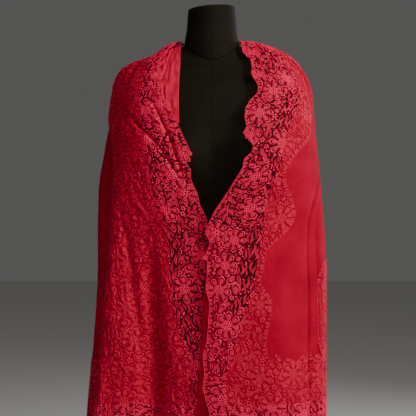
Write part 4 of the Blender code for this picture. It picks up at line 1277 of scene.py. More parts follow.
class Board:
    """Which square millimetres of a region are free, and the shapes that lie on it."""

    def __init__(self, region):
        drop = HEM_SCALLOP_REACH if region.scalloped_hem else 0.0
        rise = TOP_LOBE_REACH if region.lobed_top else 0.0
        downs = np.arange(region.top - rise, region.bottom + drop, SQUARE)
        low = float(region.start(downs).min())
        high = float(region.stop(downs).max())
        acrosses = np.arange(low, high, SQUARE)
        down, across = np.meshgrid(downs, acrosses, indexing="ij")
        capped = np.clip(down, region.top, region.bottom)
        bottom = region.bottom + (hem_drop(across) if region.scalloped_hem else 0.0)
        top = region.top - (top_lobes(across) if region.lobed_top else 0.0)
        inside = across > region.start(capped) + RIM_MARGIN
        inside &= across < region.stop(capped) - RIM_MARGIN
        inside &= down < bottom - RIM_MARGIN
        inside &= down > top + RIM_MARGIN
        self.corner = np.array([region.top - rise, low])
        self.free = inside
        self.backed = region.backed(capped, across) > 0.5
        self.whole = int(inside.sum())
        self.covered = 0
        self.placed = []

    def squares(self, places):
        index = ((places - self.corner) / SQUARE).astype(int)
        limit = np.array(self.free.shape) - 1
        outside = np.any((places < self.corner) | (index > limit), axis=1)
        return np.clip(index, 0, limit), outside

    def room(self, places):
        index, outside = self.squares(places)
        return float(np.mean(self.free[index[:, 0], index[:, 1]] & ~outside))

    def put(self, shape, room=-1.0):
        """Puts a shape down if more than this share of it is free, and takes its squares."""
        if self.room(shape.marks) > room:
            self.take(shape.marks)
            self.placed.append(shape)

    def take(self, places):
        index, _ = self.squares(places)
        taken = np.zeros_like(self.free)
        taken[index[:, 0], index[:, 1]] = True
        self.covered += int((taken & self.free).sum())
        low, high = index.min(axis=0), index.max(axis=0) + 1
        rows = slice(max(low[0] - 1, 0), high[0] + 1)
        columns = slice(max(low[1] - 1, 0), high[1] + 1)
        area = taken[rows, columns]
        spread = area.copy()
        spread[1:] |= area[:-1]
        spread[:-1] |= area[1:]
        spread[:, 1:] |= area[:, :-1]
        spread[:, :-1] |= area[:, 1:]
        self.free[rows, columns] &= ~spread

    def open_spots(self, clear, dice):
        """Spots with so many squares free about them, in random order. Fewer are used over wool."""
        open_ = self.free.copy()
        for _ in range(clear - 1):
            inner = open_.copy()
            inner[1:] &= open_[:-1]
            inner[:-1] &= open_[1:]
            inner[:, 1:] &= open_[:, :-1]
            inner[:, :-1] &= open_[:, 1:]
            open_ = inner
        open_ &= ~self.backed | (dice.uniform(size=open_.shape) < BACKED_SHARE)
        squares = np.argwhere(open_)
        dice.shuffle(squares)
        return self.corner + (squares + 0.5) * SQUARE


# %% Placing the motifs
FLOWER_SPACING = (0.080, 0.090)     # of the large flowers, down and across
FIRST_FLOWER = (0.045, 0.056)       # how far the first one lies from the board's corner
FLOWER_OFFSET = 0.026               # and how much farther across in every second row
FLOWER_JITTER = 0.007
FLOWER_SIZES = (0.88, 1.04)
FLOWER_ROOM = 0.88                  # share of a large flower that must be free
EDGE_ROOM = 0.60                    # and of one at an outline
EDGE_LAP = 0.97                     # how far inside the outline its middle lies, in radii
LARGE_FROM = 0.024                  # an edge flower with a larger radius than this is of the large kind
DRAWN_RADII = (0.033, 0.019)        # the radii at which the two kinds are drawn
WAVE_ROWS = 4                       # of wavy ribbons beside the wool's cut edge
WAVE_GAP = 0.0078
WAVE_FIRST = 0.55                   # how far the first row lies from the edge, in gaps
WAVE_PIECE = 0.030
WAVE_STEP = 1.12 * WAVE_PIECE
WAVE_PITCH = (0.015, 0.026)
WAVE_SWAY = (0.0010, 0.0026)
WAVE_HALF_WIDTH = (0.0017, 0.0029)
WAVE_ENDS = (-0.001, 0.011)         # over what distance a piece widens at each end
WAVE_ROOM = 0.9


def place_edge_flowers(board, outline, spots, inward, dice):
    """Flowers along an outline, whose petals reach its rim. Each spot is a distance down and a radius."""
    for down, radius in spots:
        large = radius > LARGE_FROM
        shapes, drawn = (LARGE_FLOWERS, DRAWN_RADII[0]) if large else (SMALL_FLOWERS, DRAWN_RADII[1])
        shape = shapes[dice.integers(len(shapes))]
        centre = (down, float(outline(np.array(down))) + inward * radius * EDGE_LAP)
        board.put(moved_shape(shape, centre, dice.uniform(*ANY_TURN), radius / drawn, False), EDGE_ROOM)


def place_large_flowers(board, dice):
    rows, columns = np.array(board.free.shape) * SQUARE
    for i, down in enumerate(np.arange(FIRST_FLOWER[0], rows, FLOWER_SPACING[0])):
        offset = FLOWER_OFFSET if i % 2 else 0.0
        for across in np.arange(FIRST_FLOWER[1] + offset, columns, FLOWER_SPACING[1]):
            spot = board.corner + (down, across) + dice.uniform(-1.0, 1.0, 2) * FLOWER_JITTER
            shape = LARGE_FLOWERS[dice.integers(len(LARGE_FLOWERS))]
            turn, size = dice.uniform(*ANY_TURN), dice.uniform(*FLOWER_SIZES)
            board.put(moved_shape(shape, spot, turn, size, False), FLOWER_ROOM)


def place_wavy_rows(board, cut, chart, length, dice):
    """Rows of wavy ribbons that run down beside the wool's cut edge."""
    for row in range(WAVE_ROWS):
        inside = WAVE_GAP * (row + WAVE_FIRST)
        for top in np.arange(dice.uniform(0.01, WAVE_STEP), length - HEM_BORDER - WAVE_PIECE, WAVE_STEP):
            down = np.linspace(top, top + WAVE_PIECE, 12)
            phase = 2 * math.pi * down / dice.uniform(*WAVE_PITCH) + dice.uniform(0.0, 2 * math.pi)
            across = cut_edge(cut, chart, down) - inside + dice.uniform(*WAVE_SWAY) * np.sin(phase)
            ends = ease(np.minimum(down - top, top + WAVE_PIECE - down), *WAVE_ENDS)
            widths = dice.uniform(*WAVE_HALF_WIDTH) * ends
            line = np.stack([down, across], axis=1)
            board.put(stroke(line, widths, RIBBON_RISE, RIBBON_SECTION), WAVE_ROOM)


def try_motif(board, motif, spot, dice):
    """The motif moved to the spot, or None where none of its turns fits."""
    for _ in range(motif.tries):
        shape = motif.shapes[dice.integers(len(motif.shapes))]
        turn, size = dice.uniform(*motif.turns), dice.uniform(*motif.sizes)
        mirrored = bool(dice.integers(2))
        middle = turned(shape.marks.mean(axis=0)[None], (0.0, 0.0), turn, size, mirrored)[0]
        some = turned(shape.marks[::ROOM_STEP], spot - middle, turn, size, mirrored)
        if board.room(some) >= motif.room:
            return moved_shape(shape, spot - middle, turn, size, mirrored)
    return None


def fill_with_motifs(board, dice):
    for motif in MOTIFS:
        most = int(motif.most * board.whole * SQUARE**2) + 1
        fitted = 0
        for spot in board.open_spots(motif.clear, dice)[: most * SPOTS_FOR_EACH]:
            index, _ = board.squares(spot[None])
            if fitted == most:
                break
            if not board.free[index[0, 0], index[0, 1]]:
                continue
            made = try_motif(board, motif, spot, dice)
            if made is not None:
                board.put(made)
                fitted += 1


print("rows of wavy ribbons beside each cut edge:", WAVE_ROWS)

# %% Rims: a thin cord with a row of petals
RIM_HALF_WIDTH = 0.0007
RIM_STEP = 0.003
BAND_HALF_WIDTH = 0.0024            # where the edge is a plain band, on the left front above the crossing
BAND_ENDS = (0.335, 0.470)
BAND_BLEND = 0.02
BAND_DULLNESS = 0.6                 # how much flatter and darker than the cord the band is
RIM_PETAL_GAP = 0.0080
RIM_PETAL = (0.0085, 0.0036)        # length and half width
RIM_PETAL_INSIDE = 0.0080           # how far inside the outline a petal starts
RIM_PETAL_SHIFT = 0.2               # how far from its place it may lie, in gaps
RIM_PETAL_TURN = 0.35
RIM_PETAL_SIZES = (0.75, 1.15)
OUTLINE_STEP = 0.002
LOBE_STEP = 0.001


def banded_cord(line):
    """The cord of a rim, with a plain band along part of it."""
    band = ease(line[:, 0], BAND_ENDS[0], BAND_ENDS[0] + BAND_BLEND)
    band = band - ease(line[:, 0], BAND_ENDS[1] - BAND_BLEND, BAND_ENDS[1])
    wider = (BAND_HALF_WIDTH - RIM_HALF_WIDTH) * band
    line = line + np.c_[0 * wider, wider]
    cord = stroke(line, RIM_HALF_WIDTH + wider, CORD_RISE, CORD_SECTION)
    dull = np.repeat(1 - BAND_DULLNESS * band, len(CORD_SECTION.offsets))
    flatter = np.stack([np.ones_like(dull), np.ones_like(dull), dull], axis=1)
    return cord._replace(tone=cord.tone * dull, points=cord.points * flatter)


def places_along(line, spots):
    run = distances(line)
    return np.stack([np.interp(spots, run, axis) for axis in line.T], axis=1)


def rim(board, line, outward, banded, dice):
    """A thin cord along an outline, with a row of uneven small petals inside it."""
    length = distances(line)[-1]
    fine = places_along(line, np.linspace(0.0, length, max(int(length / RIM_STEP), 4)))
    cord = banded_cord(fine) if banded else stroke(fine, RIM_HALF_WIDTH, CORD_RISE, CORD_SECTION)
    board.placed.append(cord)
    spots = np.arange(RIM_PETAL_GAP / 2, length, RIM_PETAL_GAP)
    spots = spots + dice.uniform(-RIM_PETAL_SHIFT, RIM_PETAL_SHIFT, len(spots)) * RIM_PETAL_GAP
    shape = petal(-RIM_PETAL_INSIDE, *RIM_PETAL, 0.0, 0.0, BUD_SECTION, 6)
    for place, after in zip(places_along(line, spots), places_along(line, spots + OUTLINE_STEP)):
        heading = math.atan2(after[1] - place[1], after[0] - place[0]) + outward * math.pi / 2
        heading += dice.uniform(-RIM_PETAL_TURN, RIM_PETAL_TURN)
        board.put(moved_shape(shape, place, heading, dice.uniform(*RIM_PETAL_SIZES), False))


def outline_points(region, side):
    """The points of one long side of a region, of its hem or of its lobed top."""
    if side in ("start", "stop"):
        downs = np.arange(region.top, region.bottom, OUTLINE_STEP)
        return np.stack([downs, getattr(region, side)(downs)], axis=1)
    level, step = (region.bottom, OUTLINE_STEP) if side == "hem" else (region.top, LOBE_STEP)
    start, stop = float(region.start(np.array(level))), float(region.stop(np.array(level)))
    across = np.linspace(start, stop, int((stop - start) / step))
    shift = hem_drop(across) if side == "hem" else -top_lobes(across)
    return np.stack([level + shift, across], axis=1)


print("petals in a metre of rim:", round(1 / RIM_PETAL_GAP))

# %% Embroidering each region
# An outline, and on which hand of it the outside lies.
START, STOP, HEM, TOP = ("start", -1), ("stop", 1), ("hem", -1), ("top", 1)
RIMS = {
    "right_front": (START, HEM),
    "left_front": (START, STOP, HEM),
    "left_hem": (HEM, TOP),
    "back_neck": (),
    "back_hem": (HEM,),
    "left_side": (START, STOP),
}
# Flowers that fill the lobes of the outlines: a distance down and a radius.
EDGE_FLOWERS = {
    "right_front": (
        (0.125, 0.016), (0.200, 0.022), (0.320, 0.020), (0.404, 0.024), (0.540, 0.030), (0.690, 0.026),
    ),
    "left_front": (
        (0.062, 0.020), (0.125, 0.018), (0.222, 0.031), (0.272, 0.018), (0.500, 0.024), (0.618, 0.028),
    ),
}
LOBE_FLOWERS = ((0.200, 0.024), (0.468, 0.033), (0.650, 0.026), (0.860, 0.030))
CUTS = {"right_front": RIGHT_CUT, "left_front": LEFT_CUT}
BACKED_RISE = 0.60          # lace over wool lies flatter than lace that hangs free
STITCH_RISE = 0.0001        # how far above the net the stitches start


def embroider(region, seed):
    dice = np.random.default_rng(seed)
    board = Board(region)
    on_left = region.name == "left_front"
    for side, outward in RIMS[region.name]:
        rim(board, outline_points(region, side), outward, on_left and side == "start", dice)
    place_edge_flowers(board, region.start, EDGE_FLOWERS.get(region.name, ()), 1, dice)
    if on_left:
        place_edge_flowers(board, region.stop, LOBE_FLOWERS, -1, dice)
    place_large_flowers(board, dice)
    if region.name in CUTS:
        place_wavy_rows(board, CUTS[region.name], region.chart, region.bottom, dice)
    fill_with_motifs(board, dice)
    whole = join_shapes(board.placed)
    down, across, up = whole.points.T
    backed = region.backed(down, across)
    rise = LACE_RISE + STITCH_RISE + up * (1 - (1 - BACKED_RISE) * backed)
    step = -1 if region.chart.outward > 0 else 1
    faces = whole.quads[:, ::step].tolist() + whole.tris[:, ::step].tolist()
    flowers = mesh_object("flowers_" + region.name, region.chart.at(down, across, rise), faces, whole.flat)
    # The painted shade of the grooves and holes goes with the flowers, for the material to read.
    keep_values(flowers, "thread_tone", whole.tone)
    keep_values(flowers, "backed", backed)
    triangles = 2 * len(whole.quads) + len(whole.tris)
    covered = round(board.covered / board.whole, 2)
    print(region.name, "- motifs:", len(board.placed), "triangles:", triangles, "covered:", covered)
    return flowers


flowers = {region.name: embroider(region, 100 + k) for k, region in enumerate(REGIONS)}

# %% [markdown]
# ## Two folded-under edges
#
# The wearer's left front is turned under along its edge, and the turned cloth peeps out as a smooth strip
# between the fronts. Beside the neck the right front is turned under too, and there its lace shows as fine
# uneven ribs. Both are narrow doubled strips with a round fold, so each is one grid that turns back on
# itself.

# %% The strip between the fronts
UnderRow = namedtuple("UnderRow", "z x_fold x_hidden")

UNDER_LAYER = [
    UnderRow(0.995, -0.001, 0.006),
    UnderRow(0.965, -0.003, 0.021),
    UnderRow(0.860, -0.015, 0.029),
    UnderRow(0.757, -0.021, 0.037),
    UnderRow(0.674, -0.027, 0.041),
    UnderRow(0.600, -0.033, 0.045),
    UnderRow(0.512, -0.039, 0.048),
]
UNDER_LAYER_Y = -0.1495
UNDER_CELLS = (119, 15)     # down the strip and across it
UNDER_ROUND = 9             # points round its fold
UNDER_FOLD_RADIUS = 0.0008
UNDER_TILT = 0.0025         # how far its folded edge leans back
UNDER_TILT_ENDS = (0.018, 0.10)     # the lean fades out so far across, and so near the top
UNDER_RIPPLE = 0.0010
UNDER_RIPPLE_BEAT = (31.0, 40.0)
UNDER_RIPPLE_ENDS = (0.03, 0.05)


def row_distances(grid):
    """How far along its row each point of a grid lies."""
    steps = np.diff(grid, axis=1, prepend=grid[:, :1])
    return np.cumsum(np.linalg.norm(steps, axis=2), axis=1)


def fold_strip():
    heights = np.linspace(UNDER_LAYER[0].z, UNDER_LAYER[-1].z, UNDER_CELLS[0] + 1)
    z_rows, *x_rows = np.array(UNDER_LAYER).T
    x_fold, x_hidden = (smooth(-z_rows, column, -heights)[:, None] for column in x_rows)
    share = np.linspace(1.0, 0.0, UNDER_CELLS[1] + 1)[:-1]
    turn = np.linspace(-math.pi / 2, math.pi / 2, UNDER_ROUND)
    front_x = x_fold + UNDER_FOLD_RADIUS + (x_hidden - x_fold) * share
    round_x = x_fold + UNDER_FOLD_RADIUS * (1 - np.cos(turn))
    x = np.concatenate([front_x, round_x, front_x[:, ::-1]], axis=1)
    near, far = np.zeros(len(share)), np.full(len(share), 2 * UNDER_FOLD_RADIUS)
    y = UNDER_LAYER_Y + np.concatenate([near, UNDER_FOLD_RADIUS * (1 + np.sin(turn)), far])
    z = np.broadcast_to(heights[:, None], x.shape)
    inside, below = x - x_fold, heights[0] - z
    ripple = UNDER_RIPPLE * np.abs(np.sin(z * UNDER_RIPPLE_BEAT[0] + x * UNDER_RIPPLE_BEAT[1]))
    ripple = ripple * ease(inside, 0.0, UNDER_RIPPLE_ENDS[0]) * ease(below, 0.0, UNDER_RIPPLE_ENDS[1])
    lean = (1 - ease(inside, 0.0, UNDER_TILT_ENDS[0])) * ease(below, 0.0, UNDER_TILT_ENDS[1])
    grid = np.stack([x, y - ripple + UNDER_TILT * lean, z], axis=2)
    flat = np.stack([row_distances(grid), z], axis=2).reshape(-1, 2)
    return mesh_object("turned_edge_left", grid.reshape(-1, 3), grid_quads(*x.shape).tolist(), flat)


turned_edge_left = fold_strip()
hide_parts("under_layer_left")
print("strip between the fronts, faces:", len(turned_edge_left.data.polygons))

# %% The turned edge beside the neck
TurnRow = namedtuple("TurnRow", "x y z")

NECK_TURN = [
    TurnRow(-0.0660, -0.003, 1.3930),
    TurnRow(-0.0680, -0.026, 1.3790),
    TurnRow(-0.0680, -0.062, 1.3390),
    TurnRow(-0.0700, -0.088, 1.2900),
    TurnRow(-0.0700, -0.108, 1.2450),
    TurnRow(-0.0690, -0.119, 1.2080),
]
TURN_START = 0.006          # where it starts, as a share of the front's length
TURN_DROP = 0.215
TURN_TUCK = 0.022           # how far it reaches in under the front
TURN_DEPTH = 0.0060
TURN_WIDTH = 0.040
TURN_POINTS = (120, 34)     # along it and across it
TURN_BEHIND = (6, 0.0014)   # how many of these turn back behind the fold, and how far behind
TURN_BULGE = 0.0010
TURN_RIB_DEPTH = 0.0032
TURN_RIB = (0.030, 0.0055)          # a rib's length and width
TURN_SPECK = (0.009, 0.0035)        # and those of the specks in its tone
TURN_SPECK_TONE = 0.45
TURN_TONE = 0.70
TURN_BACKED = 0.80
CHEST_MIDDLE = np.array([0.0, 0.07, 1.20])


def neck_fold():
    fold = np.array(NECK_TURN)
    run = distances(fold)
    rows, columns = TURN_POINTS
    part = np.linspace(0.0, 1.0, rows)
    near = np.stack([smooth(run / run[-1], column, part) for column in fold.T], axis=1)
    down = part * TURN_DROP + TURN_START * right.length
    hidden = right_chart.at(down, TURN_TUCK, 0.0)
    far = hidden - (right_chart.at(down, TURN_TUCK, 1.0) - hidden) * TURN_DEPTH
    share = np.linspace(1.0, 0.0, columns)
    strip = near[:, None] + (far - near)[:, None] * share[:, None]
    inward = CHEST_MIDDLE - strip
    inward /= np.linalg.norm(inward, axis=2, keepdims=True)
    down, across = np.meshgrid(part * run[-1], share * TURN_WIDTH)
    ribs = np.abs(soft_noise(down, across, TURN_RIB, np.random.default_rng(5))).T - 0.4
    specks = soft_noise(down, across, TURN_SPECK, np.random.default_rng(6)).T
    bulge = np.sin(math.pi * share) * (TURN_BULGE + TURN_RIB_DEPTH * ribs)
    strip = strip - inward * bulge[..., None]
    count, depth = TURN_BEHIND
    grid = np.concatenate([strip, (strip + inward * depth)[:, ::-1][:, :count]], axis=1)
    along = np.repeat(part[:, None] * run[-1], columns + count, axis=1)
    flat = np.stack([row_distances(grid), along], axis=2)
    faces = grid_quads(rows, columns + count).tolist()
    made = mesh_object("turned_edge_neck", grid.reshape(-1, 3), faces, flat.reshape(-1, 2))
    # Painted shade: lighter on the ribs and darker between them, plus random specks of tone.
    tone = TURN_TONE + ribs + TURN_SPECK_TONE * specks
    keep_values(made, "thread_tone", np.pad(tone, ((0, 0), (0, count)), constant_values=TURN_TONE))
    keep_values(made, "backed", np.full(grid.shape[:2], TURN_BACKED))
    return made


turned_edge_neck = neck_fold()
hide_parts("neck_turn_right")
print("turned edge at the neck, faces:", len(turned_edge_neck.data.polygons))

# %% [markdown]
# ## The dress form
#
# The form is a padded torso without limbs, covered with black jersey. Rings at each height, squarer than
# an ellipse, give its body, and two soft rounds are added for the chest. The cover is sewn from halves, so
# a seam runs down its middle and another goes round the foot of the neck.

# %% Rings of the form
FormRow = namedtuple("FormRow", "z_front z_side z_back half_width front back squareness")

FORM_BODY = [
    FormRow(0.700, 0.700, 0.700, 0.152, 0.096, 0.104, 2.3),
    FormRow(0.704, 0.704, 0.704, 0.161, 0.104, 0.112, 2.3),
    FormRow(0.716, 0.716, 0.716, 0.166, 0.108, 0.117, 2.3),
    FormRow(0.790, 0.790, 0.790, 0.171, 0.112, 0.121, 2.3),
    FormRow(0.870, 0.870, 0.870, 0.165, 0.108, 0.114, 2.3),
    FormRow(0.940, 0.940, 0.940, 0.146, 0.099, 0.100, 2.2),
    FormRow(1.015, 1.015, 1.015, 0.122, 0.091, 0.089, 2.2),
    FormRow(1.070, 1.070, 1.070, 0.126, 0.097, 0.092, 2.2),
    FormRow(1.120, 1.120, 1.120, 0.139, 0.106, 0.098, 2.2),
    FormRow(1.165, 1.165, 1.165, 0.150, 0.111, 0.103, 2.2),
    FormRow(1.210, 1.210, 1.212, 0.159, 0.106, 0.107, 2.2),
    FormRow(1.250, 1.252, 1.258, 0.167, 0.096, 0.109, 2.2),
    FormRow(1.282, 1.292, 1.300, 0.172, 0.084, 0.105, 2.2),
    FormRow(1.304, 1.322, 1.330, 0.162, 0.075, 0.097, 2.1),
    FormRow(1.320, 1.343, 1.351, 0.138, 0.065, 0.086, 2.1),
    FormRow(1.333, 1.361, 1.371, 0.106, 0.059, 0.075, 2.0),
    FormRow(1.343, 1.376, 1.387, 0.077, 0.056, 0.066, 2.0),
    FormRow(1.349, 1.386, 1.396, 0.061, 0.055, 0.061, 2.0),
]
NECK_ROWS = [
    FormRow(1.349, 1.386, 1.396, 0.0605, 0.0550, 0.0605, 2.0),
    FormRow(1.375, 1.402, 1.409, 0.0580, 0.0545, 0.0575, 2.0),
    FormRow(1.410, 1.420, 1.423, 0.0550, 0.0530, 0.0550, 2.0),
    FormRow(1.462, 1.462, 1.462, 0.0518, 0.0505, 0.0525, 2.0),
    FormRow(1.467, 1.467, 1.467, 0.0503, 0.0490, 0.0510, 2.0),
    FormRow(1.4685, 1.4685, 1.4685, 0.0470, 0.0460, 0.0480, 2.0),
]
BUST_X = 0.072
BUST_Z = 1.150
BUST_REACH = 0.022
BUST_RADIUS = 0.052
NECK_TOP_SLOPE = 0.07
NECK_SLOPE_FROM = 1.410
FORM_GAP = 0.0008
FORM_SIDES = 128


def form_ring(row):
    angle = 2 * math.pi * np.arange(FORM_SIDES) / FORM_SIDES
    c, s = np.cos(angle), np.sin(angle)
    power = 2 / row.squareness
    x = row.half_width * np.sign(c) * np.abs(c) ** power
    y = np.where(s < 0, row.front, row.back) * np.sign(s) * np.abs(s) ** power
    z = row.z_side + (np.where(s < 0, row.z_front, row.z_back) - row.z_side) * s**2
    return np.stack([x, y, z], axis=1)


def form_rings(rows, cells):
    at = np.linspace(0, len(rows) - 1, (len(rows) - 1) * cells + 1)
    columns = [smooth(np.arange(len(rows)), column, at) for column in np.array(rows).T]
    return np.array([form_ring(FormRow(*values)) for values in zip(*columns)])


def with_bust(points):
    x_part = (np.abs(points[..., 0]) - BUST_X) / BUST_RADIUS
    z_part = (points[..., 2] - BUST_Z) / BUST_RADIUS
    points[..., 1] -= (points[..., 1] < 0) * BUST_REACH * np.exp(-(x_part**2) - z_part**2)
    return points


def loft(name, rings):
    """A closed body through rings, with its ends closed to a point at their middles."""
    count, sides = rings.shape[:2]
    wrapped = np.concatenate([rings, rings[:, :1]], axis=1)
    girth = np.cumsum(np.linalg.norm(np.diff(wrapped, axis=1, prepend=wrapped[:, :1]), axis=2), axis=1)
    flat = np.stack([girth, wrapped[..., 2]], axis=2)
    points = wrapped.reshape(-1, 3)
    faces = grid_quads(count, sides + 1)[:, ::-1].tolist()
    ends = np.array([rings[0].mean(axis=0), rings[-1].mean(axis=0)])
    bottom, top = len(points), len(points) + 1
    last = (count - 1) * (sides + 1)
    for k in range(sides):
        faces.append((bottom, k + 1, k))
        faces.append((top, last + k, last + k + 1))
    flats = np.concatenate([flat.reshape(-1, 2), ends[:, :2]])
    body = mesh_object(name, np.concatenate([points, ends]), faces, flats)
    merge_doubles(body)
    return body


# %% Covering the form
SEAM_RADIUS = 0.0007
SEAM_SIDES = 8
NO_SEAM_WAY = (0.37, 0.21, 0.11)    # a direction that no seam runs in, to build its rings from
FOOT_RING = 3                       # the ring of the neck that its lowest seam follows


def seam_tube(line):
    """A thin round welt along a line of points."""
    travel = np.gradient(line, axis=0)
    travel /= np.linalg.norm(travel, axis=1, keepdims=True) + TINY
    aside = np.cross(travel, NO_SEAM_WAY)
    aside /= np.linalg.norm(aside, axis=1, keepdims=True)
    other = np.cross(travel, aside)
    angle = np.linspace(0.0, 2 * math.pi, SEAM_SIDES + 1)
    circle = np.cos(angle)[:, None, None] * aside + np.sin(angle)[:, None, None] * other
    points = (line + SEAM_RADIUS * circle).transpose(1, 0, 2)
    run = np.repeat(distances(line)[:, None], SEAM_SIDES + 1, axis=1)
    flat = np.stack([np.broadcast_to(angle * SEAM_RADIUS, run.shape), run], axis=2)
    return points.reshape(-1, 3), grid_quads(len(line), SEAM_SIDES + 1), flat.reshape(-1, 2)


def sew_seams(body, neck):
    front, rear = 3 * FORM_SIDES // 4, FORM_SIDES // 4
    neck = neck[FOOT_RING:]
    foot = np.concatenate([neck[0], neck[0][:1]])
    points, faces, flats, count = [], [], [], 0
    for line in (body[:, front], body[:, rear], neck[:, front], neck[:, rear], foot):
        made, quads, flat = seam_tube(line)
        points.append(made)
        faces += (quads + count).tolist()
        flats.append(flat)
        count += len(made)
    return mesh_object("form_seams", np.concatenate(points), faces, np.concatenate(flats))


body_rings = with_bust(form_rings(FORM_BODY, 8))
neck_rings = form_rings(NECK_ROWS, 10)
lift = ease(neck_rings[..., 2], NECK_SLOPE_FROM, NECK_ROWS[-1].z_side)
neck_rings[..., 2] += FORM_GAP + lift * NECK_TOP_SLOPE * neck_rings[..., 0]
form_body = loft("form_cover_body", body_rings)
form_neck = loft("form_cover_neck", neck_rings)
form_seams = sew_seams(body_rings, neck_rings)
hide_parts("form_torso")
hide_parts("form_neck")
print("rings on the body:", len(body_rings))

# %% [markdown]
# ## Materials
#
# Cloth looks like cloth because its colour shifts a little, its surface is fine relief, and its fibres catch
# light at the edges. What several cloths share is built once as a node group, and each material places it
# with its own sizes. The UV maps are in metres, so a thread has its real width everywhere.

# %% Small helpers for nodes


def new_group(name, inputs, output, kind):
    """A node group with its inputs and its one output."""
    group = bpy.data.node_groups.new(name, "ShaderNodeTree")
    for label, input_kind, value in inputs:
        socket = group.interface.new_socket(name=label, in_out="INPUT", socket_type=input_kind)
        socket.default_value = value
    group.interface.new_socket(name=output, in_out="OUTPUT", socket_type=kind)
    return group, group.nodes.new("NodeGroupInput").outputs, group.nodes.new("NodeGroupOutput").inputs[output]


def feed(tree, socket, value):
    """Links a socket to another, or sets its value."""
    if isinstance(value, bpy.types.NodeSocket):
        tree.links.new(value, socket)
    else:
        socket.default_value = value


def maths(tree, operation, first, second=0.0, clamped=False):
    node = tree.nodes.new("ShaderNodeMath")
    node.operation = operation
    node.use_clamp = clamped
    feed(tree, node.inputs[0], first)
    feed(tree, node.inputs[1], second)
    return node.outputs[0]


def times(tree, first, second):
    return maths(tree, "MULTIPLY", first, second)


def plus(tree, first, second):
    return maths(tree, "ADD", first, second)


def in_turns(tree, value, pitch):
    """The angle of a wave that comes round once every pitch."""
    return times(tree, maths(tree, "DIVIDE", value, pitch), 2 * math.pi)


def wave(tree, value, pitch):
    return maths(tree, "SINE", in_turns(tree, value, pitch))


def cloth_place(tree):
    """The flat place on the cloth, as separate X and Y sockets."""
    uv = tree.nodes.new("ShaderNodeTexCoord").outputs["UV"]
    parts = tree.nodes.new("ShaderNodeSeparateXYZ")
    tree.links.new(uv, parts.inputs[0])
    return uv, parts.outputs["X"], parts.outputs["Y"]


def noise(tree, vector, scale, detail=2.0):
    node = tree.nodes.new("ShaderNodeTexNoise")
    tree.links.new(vector, node.inputs["Vector"])
    feed(tree, node.inputs["Scale"], scale)
    node.inputs["Detail"].default_value = detail
    return node.outputs["Fac"]


def mixed(tree, share, first, second):
    """The first colour where the share is 0, and the second where it is 1."""
    mix = tree.nodes.new("ShaderNodeMix")
    mix.data_type = "RGBA"
    feed(tree, mix.inputs["Factor"], share)
    feed(tree, mix.inputs["A"], first)
    feed(tree, mix.inputs["B"], second)
    return mix.outputs["Result"]


def press_bump(tree, shader, height, strength, distance):
    """Fine relief on a surface, as a bend of its normal."""
    bump = tree.nodes.new("ShaderNodeBump")
    bump.inputs["Strength"].default_value = strength
    bump.inputs["Distance"].default_value = distance
    tree.links.new(height, bump.inputs["Height"])
    tree.links.new(bump.outputs["Normal"], shader.inputs["Normal"])


def new_material(name):
    made = bpy.data.materials.new(name)
    made.use_nodes = True
    return made, made.node_tree, made.node_tree.nodes["Principled BSDF"]


# %% Node groups for cloth
PATCH_PART = 0.65           # how much of a tone's shift is in soft patches, the rest being in threads
TONE_SPREAD = (0.36, 0.64)  # the values of that shift that give the deep and the light colour
TWILL_SLANT = 0.6
TWILL_PICKS = (0.8, 0.35)   # pitch and height of the crossing threads, beside the ridges'
TWILL_FUZZ = (1400.0, 1.4)  # fibres in a metre, and their height
STITCH_LEAN = 0.45
STITCH_FUZZ = 900.0
NET_WAVES = 3
NET_SHARPNESS = 4.0         # how fast thread turns into hole
KNIT_COLUMN = 2.0           # width of a column, in pitches
KNIT_ARM = (0.0004, 0.5)    # how far the arms of a V reach up, and their height
KNIT_FUZZ = 700.0


def make_tone_group():
    """Colour that shifts in soft patches and in single threads."""
    inputs = [
        ("Deep", "NodeSocketColor", (0.2, 0.0, 0.0, 1.0)),
        ("Light", "NodeSocketColor", (0.6, 0.0, 0.0, 1.0)),
        ("Patches per m", "NodeSocketFloat", 20.0),
        ("Threads per m", "NodeSocketFloat", 900.0),
    ]
    group, given, result = new_group("cloth_tone", inputs, "Color", "NodeSocketColor")
    uv, _, _ = cloth_place(group)
    patches = times(group, noise(group, uv, given["Patches per m"], 3.0), PATCH_PART)
    threads = times(group, noise(group, uv, given["Threads per m"], 1.0), 1 - PATCH_PART)
    ramp = group.nodes.new("ShaderNodeMapRange")
    group.links.new(plus(group, patches, threads), ramp.inputs["Value"])
    ramp.inputs["From Min"].default_value, ramp.inputs["From Max"].default_value = TONE_SPREAD
    group.links.new(mixed(group, ramp.outputs["Result"], given["Deep"], given["Light"]), result)
    return group


def make_relief_group(name, pitch, relief):
    """The height of a cloth's surface at a flat place, from the pitch of its threads."""
    inputs = [("Pitch", "NodeSocketFloat", pitch)]
    group, given, result = new_group(name, inputs, "Height", "NodeSocketFloat")
    group.links.new(relief(group, *cloth_place(group), given["Pitch"]), result)
    return group


def twill_relief(tree, uv, x, y, pitch):
    """Fine slanting ridges with a slight break at each crossing thread."""
    slant = wave(tree, plus(tree, x, times(tree, y, TWILL_SLANT)), pitch)
    picks = wave(tree, y, times(tree, pitch, TWILL_PICKS[0]))
    fuzz = noise(tree, uv, TWILL_FUZZ[0])
    height = plus(tree, slant, times(tree, picks, TWILL_PICKS[1]))
    return plus(tree, height, times(tree, fuzz, TWILL_FUZZ[1]))


def stitch_relief(tree, uv, x, y, pitch):
    """Satin stitches that lie side by side across a petal or a cord."""
    lean = plus(tree, y, times(tree, maths(tree, "ABSOLUTE", x), STITCH_LEAN))
    return plus(tree, wave(tree, lean, pitch), noise(tree, uv, STITCH_FUZZ))


